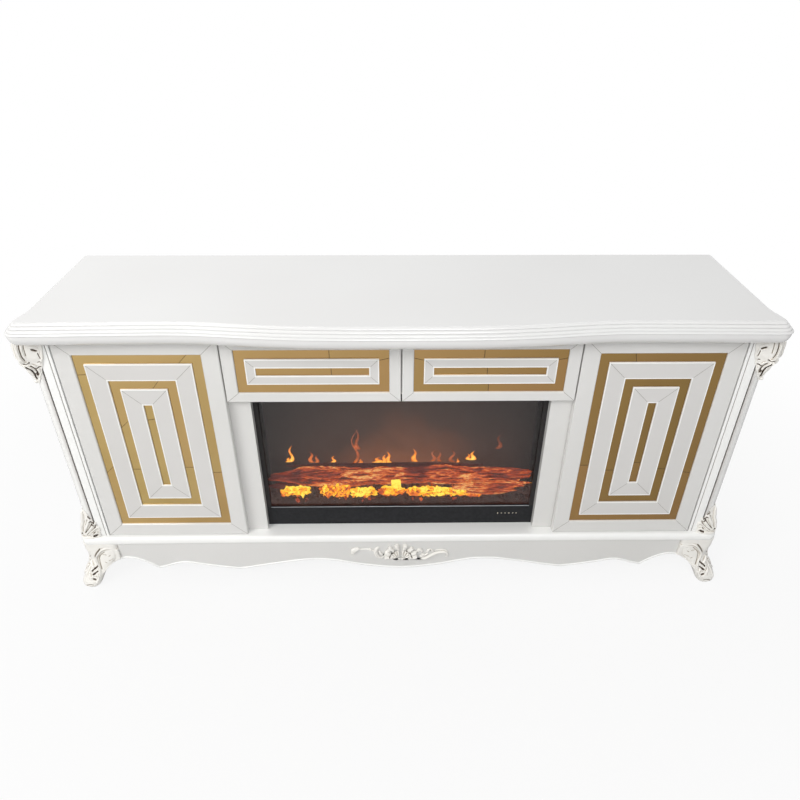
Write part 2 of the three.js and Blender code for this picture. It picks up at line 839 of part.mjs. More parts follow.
function apronCarving() {
  const faceY = -apronFrontOverhang;
  const middleZ = apronTop - apronDrop + apronCarvingRise;
  const place = ([xShare, zShare]) => [xShare * apronCarvingHalf, middleZ + zShare * apronCarvingHalf / 2];
  const pieces = [];
  for (let k = 0; k < petalCount; k++) {
    const turn = Math.PI * (k + 0.5) / petalCount;
    const [c, s] = [Math.cos(turn), Math.sin(turn)];
    const root = [c * petalWidth / 4, middleZ - shellLength / 3];
    const tip = [root[0] + c * shellLength * petalReachShare, root[1] + s * shellLength];
    const middle = [(root[0] + tip[0]) / 2, (root[1] + tip[1]) / 2];
    pieces.push(stem([root, middle, tip], faceY, petalWidth, shellRelief, petalEndShare));
  }
  for (const shares of [leftScrollShares, leftCurlShares, rightLeafShares, rightCurlShares]) {
    pieces.push(stem(shares.map(place), faceY, stemWidth, scrollRelief, stemEndShare));
  }
  return join(...pieces);
}

// Fronts. A rectangle in x and z is [x0, x1, z0, z1]
function shrink([x0, x1, z0, z1], by) {
  return [x0 + by, x1 - by, z0 + by, z1 - by];
}

function rectRing([x0, x1, z0, z1], y) {
  return [[x0, y, z0], [x1, y, z0], [x1, y, z1], [x0, y, z1]];
}

// A slab with its front edges bevelled
function bevelledSlab(rect, y0, y1) {
  return loft([rectRing(rect, y1), rectRing(rect, y0 + stripBevel), rectRing(shrink(rect, stripBevel), y0)]);
}

// The tool for a recess or window whose mouth is bevelled
function bevelledMouth(rect, y0, y1) {
  const flared = shrink(rect, -stripBevel - overrun);
  return loft([rectRing(rect, y1), rectRing(rect, y0 + stripBevel), rectRing(flared, y0 - overrun)]);
}

// The tools for the fine grooves along the mitres between an outer and an inner rectangle
function mitreGrooves(outer, inner, y0) {
  const corners = ([x0, x1, z0, z1]) => [[x0, z0], [x1, z0], [x1, z1], [x0, z1]];
  const ins = corners(inner);
  return corners(outer).map((from, k) => {
    const run = [ins[k][0] - from[0], ins[k][1] - from[1]];
    const length = Math.hypot(...run);
    const [cx, cz] = [run[0] / length, run[1] / length];
    const half = mitreWidth / 2 * (1 + overrun / mitreDepth);
    const section = (x, z) => [
      [x - cz * half, y0 - overrun, z + cx * half],
      [x + cz * half, y0 - overrun, z - cx * half],
      [x, y0 + mitreDepth, z]
    ];
    return loft([
      section(from[0] - cx * overrun, from[1] - cz * overrun),
      section(ins[k][0] + cx * overrun, ins[k][1] + cz * overrun)
    ]);
  });
}

// A raised frame that stands on the mirror
function mitredRing(outer, width) {
  const inner = shrink(outer, width);
  const back = borderThickness - mirrorThickness;
  return cut(bevelledSlab(outer, 0, back), bevelledMouth(inner, 0, back + overrun),
    ...mitreGrooves(outer, inner, 0));
}

// A lacquered front with a recess for its mirror
function frontLeaf(rect, field) {
  return cut(bevelledSlab(rect, 0, frontThickness), bevelledMouth(field, 0, borderThickness),
    ...mitreGrooves(rect, field, 0));
}

function mirrorSheet(field) {
  const [x0, x1, z0, z1] = shrink(field, seatGap);
  return block(x0, x1, borderThickness - mirrorThickness, borderThickness - seatGap, z0, z1);
}

// Doors, hinged at their outer edges on the pins of the cornice and the base board
const doorRect = [doorInner, doorOuter, doorBottom, doorTop];
const doorField = [
  doorInner + doorBorderSide, doorOuter - doorBorderSide,
  doorBottom + doorBorderWidth, doorTop - doorBorderWidth
];
const doorOuterRing = shrink(doorField, goldRingWidth);
const doorInnerRing = shrink(doorOuterRing, doorFrameWidth + goldRingWidth);

function doorLeaf() {
  const depth = pivotInDoor + seatGap;
  const radius = holeRadius(pivotRadius);
  const bores = [[doorBottom - overrun, doorBottom + depth], [doorTop - depth, doorTop + overrun]]
    .map(([z0, z1]) => moved(bar('z', radius, z0, z1), doorOuter - pivotInset, pivotInset, 0));
  return cut(frontLeaf(doorRect, doorField), ...bores);
}

// Push latches on the partitions behind the doors' free edges
const latchX = partitionOuter + seatGap + latchWidth / 2;
const latchFront = frontSetback + latchInset;
const latchZ = corniceUnderside - latchDrop;

function latchHousing() {
  const shell = block(partitionCentre, latchX + latchWidth / 2, latchFront, latchFront + latchLength,
    latchZ - latchHeight / 2, latchZ + latchHeight / 2);
  const depth = frontThickness + seatGap + plungerLength + plungerTravel + seatGap;
  const bore = moved(bar('y', holeRadius(plungerRadius), latchFront - overrun, depth), latchX, 0, latchZ);
  return cut(shell, bore);
}

function latchPlunger() {
  const start = frontThickness + seatGap;
  const profile = [
    [0, 0], [plungerRadius - plungerTip, 0], [plungerRadius, plungerTip],
    [plungerRadius, plungerLength], [0, plungerLength]
  ];
  return new THREE.LatheGeometry(profile.map(([r, y]) => new THREE.Vector2(r, y)), 16)
    .translate(latchX, start, latchZ);
}

// Drawers on side runners
const drawerRect = [drawerInner, drawerOuter, drawerBottom, drawerTop];
const drawerField = [
  drawerInner + drawerBorderInner, drawerOuter - drawerBorderOuter,
  drawerBottom + drawerBorderBottom, drawerTop - drawerBorderTop
];
const runnerPitch = 2 * runnerThickness + seatGap;
const boxInner = boardThickness / 2 + runnerPitch;
const boxOuter = partitionInner - runnerPitch;
const boxBottom = railTop + drawerBoxRise;

const drawerRing = shrink(drawerField, goldRingWidth);

// An open-topped box with the moving half of a runner on each side
function drawerBox() {
  const front = frontThickness;
  const back = innerBack - drawerRearGap;
  const shell = block(boxInner, boxOuter, front, back, boxBottom, boxBottom + drawerBoxHeight);
  const space = block(boxInner + drawerSideThickness, boxOuter - drawerSideThickness,
    front + drawerSideThickness, back - drawerSideThickness,
    boxBottom + drawerBottomThickness, boxBottom + drawerBoxHeight + overrun);
  const half = drawerSideThickness / 2;
  const sliders = [
    runnerBetween(boxInner - runnerThickness, boxInner + half),
    runnerBetween(boxOuter - half, boxOuter + runnerThickness)
  ];
  return join(cut(shell, space), ...sliders);
}

// Fireplace insert
const trimOuter = openingHalf + trimFlange;
const trimFront = frontSetback + jambThickness + seatGap;
const trimBack = trimFront + trimThickness;
const trimBottom = baseTop + seatGap;
const trimTop = railUnderside - seatGap;
const windowHalf = openingHalf - trimSide;
const windowBottom = baseTop + trimBottomBand;
const windowTop = trimTop - trimTopBand;
const glassFront = trimBack + seatGap;
const glassBack = glassFront + glassThickness;
const housingHalf = trimOuter - housingInset;
const housingFront = glassBack + seatGap;
const housingBack = housingFront + housingDepth;
const floorTop = trimBottom + housingWall;
const wallInner = housingHalf - housingWall;

function fireplaceTrim() {
  const plate = block(-trimOuter, trimOuter, trimFront, trimBack, trimBottom, trimTop);
  const through = [trimFront - overrun, trimBack + overrun];
  const window = block(-windowHalf, windowHalf, ...through, windowBottom, windowTop);
  const slots = [];
  const slotZ = (windowTop + trimTop) / 2;
  for (let k = 0; k < grilleSlotCount; k++) {
    const x = (k - (grilleSlotCount - 1) / 2) * grilleSlotPitch;
    slots.push(block(x - grilleSlotWidth / 2, x + grilleSlotWidth / 2, ...through,
      slotZ - grilleSlotHeight / 2, slotZ + grilleSlotHeight / 2));
  }
  return cut(plate, window, ...slots);
}

function fireplaceGlass() {
  return block(-trimOuter + glassInset, trimOuter - glassInset, glassFront, glassBack,
    trimBottom + glassInset, windowTop + glassInset);
}

function fireplaceHousing() {
  const shell = block(-housingHalf, housingHalf, housingFront, housingBack, trimBottom, trimTop);
  const space = block(-wallInner, wallInner, housingFront - overrun, housingBack - housingWall,
    floorTop, trimTop - housingWall);
  const slots = [];
  for (let row = 0; row < ventRowCount; row++) {
    for (let column = 0; column < ventColumnCount; column++) {
      const x = (column - (ventColumnCount - 1) / 2) * ventSlotPitch;
      const z = windowTop - (row + 1) * ventRowPitch;
      slots.push(block(x - ventSlotLength / 2, x + ventSlotLength / 2, housingBack - housingWall - overrun,
        housingBack + overrun, z - ventSlotHeight / 2, z + ventSlotHeight / 2));
    }
  }
  const socket = inletBlock(inletRim, housingBack + inletDepth / 2, housingBack + inletDepth + overrun);
  const inlet = inletBlock(0, housingBack - housingWall / 2, housingBack + inletDepth);
  return cut(join(cut(shell, space, ...slots), inlet), socket);
}

// The panel socket for the supply lead, low on the housing's back, or what is cut out of it
function inletBlock(rim, y0, y1) {
  const x1 = housingHalf - inletWidth;
  const z0 = trimBottom + inletHeight;
  return block(x1 - inletWidth + rim, x1 - rim, y0, y1, z0 + rim, z0 + inletHeight - rim);
}

// A lumpy bed: waves of a few different lengths raise its top
const emberBaseShare = 0.72;
const emberBackShare = 0.18;
const emberCrownShare = 0.14;
const emberTopShare = 0.85;     // where the logs lie
const emberWaveShares = [[0.14, 31, 5], [0.1, 67, 11]];

function emberBed() {
  const front = glassBack + emberSetback;
  const half = wallInner - seatGap;
  const columns = 26;
  const rows = 6;
  const rings = [];
  for (let i = 0; i <= columns; i++) {
    const u = i / columns;
    const x = -half + 2 * half * u;
    const ring = [[x, front, floorTop + seatGap], [x, front + emberDepth, floorTop + seatGap]];
    for (let j = rows; j >= 0; j--) {
      const v = j / rows;
      const waves = emberWaveShares.reduce((sum, [size, alongX, alongY]) =>
        sum + size * Math.sin(alongX * u + alongY * v), 0);
      const crown = 1 - emberCrownShare + emberCrownShare * Math.sin(Math.PI * v);
      const rise = (emberBaseShare + waves + emberBackShare * v) * crown;
      ring.push([x, front + emberDepth * v, floorTop + emberHeight * rise]);
    }
    rings.push(ring);
  }
  return loft(rings);
}

// Logs: [from x share, to x share, from y share, to y share, radius share, rise share, droop share]
const logShares = [
  [-0.85, 0.1, 0.52, 0.58, 0.95, 1.2, 0.05], [-0.05, 0.92, 0.56, 0.5, 1.02, 1.1, 0.05],
  [-0.8, 0.75, 0.88, 0.84, 0.42, 2.1, 0.1], [-0.55, -0.2, 0.3, 0.75, 0.42, 2.1, 0.1],
  [0.3, 0.62, 0.75, 0.3, 0.46, 2, 0.1]
];

const logEndShare = 0.72;
const logTaperShare = 0.22;
const barkRidgeShare = 0.1;
const barkKnotShare = 0.08;

function logSet() {
  const front = glassBack + emberSetback;
  const bed = floorTop + emberHeight * emberTopShare;
  const logs = logShares.map(([fromX, toX, fromY, toY, sizeShare, riseShare, droopShare], index) => {
    const rings = [];
    const steps = 7;
    const sides = 7;
    for (let i = 0; i <= steps; i++) {
      const t = i / steps;
      const end = i === 0 || i === steps ? logEndShare : 1;
      const ring = [];
      for (let k = 0; k < sides; k++) {
        const turn = 2 * Math.PI * k / sides;
        const ridges = barkRidgeShare * Math.sin(3 * turn + 5 * t + index);
        const knots = barkKnotShare * Math.sin(14 * t + 2 * index);
        const radius = logRadius * sizeShare * (1 + ridges + knots) * end * (1 - logTaperShare * t);
        ring.push([
          wallInner * (fromX + (toX - fromX) * t),
          front + emberDepth * (fromY + (toY - fromY) * t) + radius * Math.cos(turn),
          bed + logRadius * (riseShare + droopShare * Math.sin(Math.PI * t)) + radius * Math.sin(turn)
        ]);
      }
      rings.push(ring);
    }
    return loft(rings);
  });
  // Their undersides follow the embers that they lie on
  return cut(join(...logs), moved(emberBed(), 0, 0, seatGap));
}

const screenFront = glassBack + screenSetback;

function flameScreen() {
  return block(-wallInner + seatGap, wallInner - seatGap, screenFront, screenFront + screenThickness,
    floorTop + screenRise, windowTop);
}

const spinnerY = glassBack + spinnerSetback;
const spinnerZ = floorTop + spinnerRise;
const motorFace = wallInner - seatGap - motorLength;
const spinnerEnd = motorFace + motorLength / 2;

function flameSpinner() {
  const pieces = [bar('x', spinnerShaftRadius, -wallInner + seatGap, spinnerEnd, 12)];
  const reach = 2 * (motorFace - motorLength) / spinnerFlagCount;
  for (let k = 0; k < spinnerFlagCount; k++) {
    const x = (k - (spinnerFlagCount - 1) / 2) * reach;
    const flag = block(x - reach / 3, x + reach / 3, -spinnerRadius, spinnerRadius,
      -wheelBladeThickness / 2, wheelBladeThickness / 2);
    pieces.push(flag.rotateX(Math.PI * spinnerTurnShare * k));
  }
  return moved(join(...pieces), 0, spinnerY, spinnerZ);
}

function spinnerMotor() {
  const body = bar('x', motorRadius, motorFace, wallInner - seatGap, 20);
  const bore = bar('x', holeRadius(spinnerShaftRadius, 12), motorFace - overrun, spinnerEnd + seatGap, 12);
  return moved(cut(body, bore), 0, spinnerY, spinnerZ);
}

function lampBar() {
  const board = block(-motorFace, motorFace, -lampWidth / 2, lampWidth / 2, 0, lampHeight / 2);
  const lens = prismAlongX(polygon([
    [-lampWidth / 4, lampHeight / 2], [lampWidth / 4, lampHeight / 2], [0, lampHeight]
  ]), -motorFace, motorFace);
  return moved(join(board, lens), 0, spinnerY, floorTop + seatGap);
}

const blowerFront = housingFront + blowerSetback;
const blowerTop = trimTop - housingWall - seatGap;
const wheelY = blowerFront + blowerDepth / 2;
const wheelZ = blowerTop - blowerHeight / 2;
const wheelHalf = blowerLength / 2 - blowerWall - 2 * seatGap;

function blowerHousing() {
  const half = blowerLength / 2;
  const shell = block(-half, half, blowerFront, blowerFront + blowerDepth,
    blowerTop - blowerHeight, blowerTop);
  const inside = half - blowerWall;
  const scroll = moved(bar('x', wheelRadius + wheelGap, -inside, inside, 24), 0, wheelY, wheelZ);
  const mouth = wheelRadius * blowerMouthShare;
  const outlet = block(-inside, inside, blowerFront - overrun, wheelY, wheelZ, wheelZ + mouth);
  const intake = block(-inside, inside, wheelY, blowerFront + blowerDepth + overrun, wheelZ - mouth, wheelZ);
  const hole = bar('x', holeRadius(wheelShaftRadius, 12), -half - overrun, half + overrun, 12);
  const bearing = moved(hole, 0, wheelY, wheelZ);
  return cut(shell, scroll, outlet, intake, bearing);
}

function blowerWheel() {
  const half = blowerLength / 2;
  const pieces = [bar('x', wheelShaftRadius, -half, half, 12)];
  for (const x of [-wheelHalf, wheelHalf - wheelDiscThickness]) {
    pieces.push(bar('x', wheelRadius, x, x + wheelDiscThickness, 18));
  }
  for (let k = 0; k < wheelBladeCount; k++) {
    const blade = block(-wheelHalf + wheelDiscThickness / 2, wheelHalf - wheelDiscThickness / 2,
      wheelRadius * bladeInnerShare, wheelRadius * bladeOuterShare, 0, wheelBladeThickness);
    pieces.push(blade.rotateX(2 * Math.PI * k / wheelBladeCount));
  }
  return moved(join(...pieces), 0, wheelY, wheelZ);
}

// Assembly
add('top_board', topBoard(), whiteLacquer());
add('cornice', cornice(), whiteLacquer());
add('base_board', baseBoard(), whiteLacquer());
addPair('partition', partition(), whiteBoard);
addPair('corner_post', cornerPost(), whiteLacquer);
addPair('side_panel', sidePanel(), whiteLacquer);
addPair('jamb', jamb(), whiteLacquer);
addPair('cupboard_back', cupboardBack(), whiteBoard);
add('drawer_space_back', drawerSpaceBack(), whiteBoard());
add('drawer_rail', drawerRail(), whiteBoard());
add('drawer_divider', drawerDivider(), whiteBoard());
addPair('shelf', shelf(), whiteBoard);
add('front_apron', frontApron(), whiteLacquer());
addPair('side_apron', sideApron(), whiteLacquer);
add('rear_rail', rearRail(), whiteBoard());
addPair('front_foot', frontFoot(), creamCarving);
addPair('rear_foot', rearFoot(), creamCarving);
addPair('post_capital', postCapital(), creamCarving);
addPair('post_leaf', postLeaf(), creamCarving);
add('apron_carving', apronCarving(), creamCarving());
addPair('latch_plunger', latchPlunger(), whiteBoard);

const doors = new THREE.Group();
cabinet.add(doors);
addPair('door_leaf', doorLeaf(), whiteLacquer, doors);
addPair('door_mirror', mirrorSheet(doorField), goldMirror, doors);
addPair('door_outer_ring', mitredRing(doorOuterRing, doorFrameWidth), whiteLacquer, doors);
addPair('door_inner_ring', mitredRing(doorInnerRing, doorFrameWidth), whiteLacquer, doors);

const drawers = new THREE.Group();
cabinet.add(drawers);
addPair('drawer_front', frontLeaf(drawerRect, drawerField), whiteLacquer, drawers);
addPair('drawer_mirror', mirrorSheet(drawerField), goldMirror, drawers);
addPair('drawer_ring', mitredRing(drawerRing, drawerFrameWidth), whiteLacquer, drawers);
addPair('drawer_box', drawerBox(), whiteBoard, drawers);

const fireplace = new THREE.Group();
cabinet.add(fireplace);
add('fireplace_trim', fireplaceTrim(), blackSteel(), fireplace);
add('fireplace_glass', fireplaceGlass(), smokedGlass(), fireplace);
add('fireplace_housing', fireplaceHousing(), blackSteel(), fireplace);
add('ember_bed', emberBed(), finish(0xe0661c, 0.8), fireplace);
add('log_set', logSet(), finish(0x6b2d16, 0.85), fireplace);
add('flame_screen', flameScreen(), smokedPlastic(), fireplace);
add('flame_spinner', flameSpinner(), steel(), fireplace);
add('spinner_motor', spinnerMotor(), blackSteel(), fireplace);
add('lamp_bar', lampBar(), finish(0xffc27a, 0.4), fireplace);
add('blower_housing', blowerHousing(), blackSteel(), fireplace);
add('blower_wheel', blowerWheel(), steel(), fireplace);

// The origin goes under the middle of the whole depth
cabinet.position.y = -(topFrontY + topBackY) / 2;

export default cabinet;
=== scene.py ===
import math
import random

import bmesh
import bpy
import numpy as np
from mathutils import Matrix, Vector, noise


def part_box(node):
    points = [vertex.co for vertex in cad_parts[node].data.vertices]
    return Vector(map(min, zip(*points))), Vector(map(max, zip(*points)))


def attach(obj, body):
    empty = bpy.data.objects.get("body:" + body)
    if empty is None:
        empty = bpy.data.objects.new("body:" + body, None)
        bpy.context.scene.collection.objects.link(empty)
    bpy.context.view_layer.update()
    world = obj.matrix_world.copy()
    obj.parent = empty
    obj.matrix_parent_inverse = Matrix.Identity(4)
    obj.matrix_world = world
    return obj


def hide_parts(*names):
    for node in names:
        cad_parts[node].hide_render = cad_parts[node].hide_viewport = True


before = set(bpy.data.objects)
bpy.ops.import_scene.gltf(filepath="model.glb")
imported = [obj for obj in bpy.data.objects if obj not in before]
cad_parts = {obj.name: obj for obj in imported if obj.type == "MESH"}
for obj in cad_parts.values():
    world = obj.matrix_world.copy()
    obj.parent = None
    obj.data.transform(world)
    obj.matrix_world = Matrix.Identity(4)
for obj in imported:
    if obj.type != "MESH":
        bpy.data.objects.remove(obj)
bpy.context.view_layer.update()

mm = 0.001

# ---------------------------------------------------------------- places taken from the frame

top_low, top_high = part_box("top_board")
cornice_low, cornice_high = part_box("cornice")
base_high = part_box("base_board")[1]
post_low, post_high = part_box("right_corner_post")
door_low, door_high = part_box("right_door_leaf")
apron_low, apron_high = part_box("front_apron")
front_foot_low, front_foot_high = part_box("right_front_foot")
capital_low, capital_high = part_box("right_post_capital")
leaf_low, leaf_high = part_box("right_post_leaf")
bed_low, bed_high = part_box("ember_bed")
screen_low, screen_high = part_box("flame_screen")
trim_low, trim_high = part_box("fireplace_trim")

front_y = door_low.y
seat_gap = 0.3 * mm
edge_gap = 2 * mm

# Corner posts
post_width = post_high.x - post_low.x
fillet_width = 33 * mm
groove_width = 3 * mm
groove_depth = 4 * mm
post_bead = 8 * mm
post_quirk = 1.8 * mm
column_radius = post_width - fillet_width - groove_width
side_setback = 37 * mm

# Top board, cornice and base board
reed_depth = 27 * mm
cove_depth = 36 * mm
nose_lip = 3 * mm
reed_side_share = 0.9
side_inset_share = 0.55
bow_reach = 580 * mm
bow_flatness = 1.8
flare_length = 75 * mm
base_thickness = 21 * mm
base_nose_depth = 9 * mm
base_lip_drop = 8.5 * mm
base_lip_depth = 7.2 * mm

# Feet
foot_top_size = 104 * mm
foot_sole_size = 44 * mm
foot_toe_reach = 52 * mm
foot_front_overhang = 14 * mm
foot_flank = 4.5 * mm
rear_foot_reach = 30 * mm

# Fireplace window
window_half = 407.1 * mm
window_low = 264 * mm

# Door pivots
pivot_inset = 8 * mm
pivot_radius = 3 * mm
collar_radius = 5.5 * mm


def mix(low, high, share):
    return low + (high - low) * share


def clamped(value, low=0, high=1):
    return min(max(value, low), high)


def smooth_step(share):
    share = clamped(share)
    return share * share * (3 - 2 * share)


def table_at(table, place):
    """Reads rows of (place, value, value...) between the first and the last."""
    row = 0
    while row + 2 < len(table) and place > table[row + 1][0]:
        row += 1
    low, high = table[row], table[row + 1]
    share = smooth_step((place - low[0]) / (high[0] - low[0]))
    return [mix(a, b, share) for a, b in zip(low[1:], high[1:])]


def curve_at(a, b, c, d, t):
    """One number of a smooth curve between b and c, where a and d are the numbers before and after."""
    return 0.5 * (2 * b + (c - a) * t + (2 * a - 5 * b + 4 * c - d) * t ** 2
                  + (3 * b - a - 3 * c + d) * t ** 3)


def spline(points, steps):
    """A curve through points of any size, with steps places to each stretch."""
    rows = [tuple(point) for point in points]
    line = []
    for k in range(len(rows) - 1):
        before, start = rows[max(k - 1, 0)], rows[k]
        end, after = rows[k + 1], rows[min(k + 2, len(rows) - 1)]
        for step in range(steps):
            t = step / steps
            line.append(tuple(curve_at(*four, t) for four in zip(before, start, end, after)))
    line.append(rows[-1])
    return line


def arc(steps, whole, start=0.0):
    """The cosine and sine at each step of a turn, both ends included."""
    turns = (start + whole * k / steps for k in range(steps + 1))
    return [(math.cos(turn), math.sin(turn)) for turn in turns]


def circle(sides):
    return arc(sides, 2 * math.pi)[:-1]


# ---------------------------------------------------------------- camera, lights and stage

scene = bpy.context.scene
scene.view_settings.view_transform = "Standard"

image_width = 800
focal_pixels = 665.3846
sensor_width = 36
camera_place = Vector((-0.0302, -1.688, 1.699))
camera_pitch = math.radians(33.3338)
camera_yaw = math.radians(0.981)
camera_roll = math.radians(-0.2788)

forward = Vector((
    math.sin(camera_yaw) * math.cos(camera_pitch),
    math.cos(camera_yaw) * math.cos(camera_pitch),
    -math.sin(camera_pitch)))
level = Vector((math.cos(camera_yaw), -math.sin(camera_yaw), 0))
down = forward.cross(level)
right = level * math.cos(camera_roll) + down * math.sin(camera_roll)
below = down * math.cos(camera_roll) - level * math.sin(camera_roll)

camera_data = bpy.data.cameras.new("camera")
camera_data.sensor_width = sensor_width
camera_data.lens = sensor_width * focal_pixels / image_width
camera = bpy.data.objects.new("camera", camera_data)
axes = Matrix((right, -below, -forward)).transposed().to_4x4()
camera.matrix_world = Matrix.Translation(camera_place) @ axes
scene.collection.objects.link(camera)
scene.camera = camera

# Lamps: name, place, aim, width, power, colour
lamps = [
    ("key_light", (-3.4, -3.2, 3.8), (0.1, 0, 0.5), 2.8, 137, (1, 0.99, 0.97)),
    ("front_light", (0.4, -4.0, 4.2), (0.1, 0, 0.5), 2.4, 94, (0.98, 0.99, 1)),
    ("top_light", (-1.2, 0.9, 3.0), (-0.2, 0, 0.9), 1.8, 15, (1, 1, 1))]

for lamp_name, lamp_place, aim, lamp_width, power, lamp_colour in lamps:
    lamp = bpy.data.lights.new(lamp_name, "AREA")
    lamp.shape = "DISK"
    lamp.size = lamp_width
    lamp.energy = power
    lamp.color = lamp_colour
    holder = bpy.data.objects.new(lamp_name, lamp)
    turn = (Vector(aim) - Vector(lamp_place)).to_track_quat("-Z", "Y").to_matrix().to_4x4()
    holder.matrix_world = Matrix.Translation(lamp_place) @ turn
    scene.collection.objects.link(holder)


def add_node(tree, kind, values=None, **settings):
    """A node with its settings and the values of the sockets that nothing is linked to."""
    node = tree.nodes.new(kind)
    for key, value in settings.items():
        setattr(node, key, value)
    for socket, value in (values or {}).items():
        node.inputs[socket].default_value = value
    return node


def link_all(tree, *pairs):
    for source, target in pairs:
        tree.links.new(source, target)


paper_white = (1, 1, 1, 1)
ambient_strength = 0.39


def studio_world():
    """White to the eye and in mirrors and glass, and a weaker light on everything else."""
    world = bpy.data.worlds.new("studio")
    scene.world = world
    world.use_nodes = True
    tree = world.node_tree
    tree.nodes.clear()
    rays = add_node(tree, "ShaderNodeLightPath").outputs
    ambient = add_node(tree, "ShaderNodeBackground", {"Color": paper_white, "Strength": ambient_strength})
    backdrop = add_node(tree, "ShaderNodeBackground", {"Color": paper_white, "Strength": 1})
    seen = add_node(tree, "ShaderNodeMath", operation="MAXIMUM")
    seen_too = add_node(tree, "ShaderNodeMath", operation="MAXIMUM")
    blend = add_node(tree, "ShaderNodeMixShader")
    out = add_node(tree, "ShaderNodeOutputWorld")
    link_all(
        tree,
        (rays["Is Camera Ray"], seen.inputs[0]), (rays["Is Glossy Ray"], seen.inputs[1]),
        (seen.outputs[0], seen_too.inputs[0]), (rays["Is Transmission Ray"], seen_too.inputs[1]),
        (seen_too.outputs[0], blend.inputs[0]), (ambient.outputs[0], blend.inputs[1]),
        (backdrop.outputs[0], blend.inputs[2]), (blend.outputs[0], out.inputs[0]))


floor_radius = 14.0
floor_sides = 64
floor_colour = (0.74, 0.74, 0.74, 1)
floor_white_from = 0.9
floor_white_at = 2.6
floor_white_near = 0.87


def stage_floor():
    """A pale floor that whitens away from the object and keeps its shadow."""
    mesh = bpy.data.meshes.new("stage_floor")
    shape = bmesh.new()
    bmesh.ops.create_circle(shape, cap_ends=True, radius=floor_radius, segments=floor_sides)
    shape.to_mesh(mesh)
    shape.free()
    floor = bpy.data.objects.new("stage_floor", mesh)
    scene.collection.objects.link(floor)
    paint = bpy.data.materials.new("stage_paper")
    paint.use_nodes = True
    tree = paint.node_tree
    shader = tree.nodes["Principled BSDF"]
    shader.inputs["Base Color"].default_value = floor_colour
    shader.inputs["Roughness"].default_value = 0.9
    glow = add_node(tree, "ShaderNodeEmission", {"Strength": 1})
    place = add_node(tree, "ShaderNodeTexCoord")
    reach = add_node(tree, "ShaderNodeVectorMath", operation="LENGTH")
    fade = add_node(
        tree, "ShaderNodeMapRange",
        {"From Min": floor_white_from, "From Max": floor_white_at, "To Min": floor_white_near},
        interpolation_type="SMOOTHSTEP")
    path = add_node(tree, "ShaderNodeLightPath")
    camera_share = add_node(tree, "ShaderNodeMath", operation="MULTIPLY")
    blend = add_node(tree, "ShaderNodeMixShader")
    link_all(
        tree,
        (place.outputs["Object"], reach.inputs[0]), (reach.outputs["Value"], fade.inputs["Value"]),
        (fade.outputs[0], camera_share.inputs[0]),
        (path.outputs["Is Camera Ray"], camera_share.inputs[1]),
        (camera_share.outputs[0], blend.inputs[0]), (shader.outputs[0], blend.inputs[1]),
        (glow.outputs[0], blend.inputs[2]),
        (blend.outputs[0], tree.nodes["Material Output"].inputs["Surface"]))
    mesh.materials.append(paint)


studio_world()
stage_floor()


# ---------------------------------------------------------------- materials

screen_white = 255
coat_roughness = 0.06


def tint(red, green, blue):
    """A colour written as it looks on a screen, in the shader's own values."""
    def linear(value):
        value /= screen_white
        return value / 12.92 if value <= 0.04045 else ((value + 0.055) / 1.055) ** 2.4
    return linear(red), linear(green), linear(blue), 1


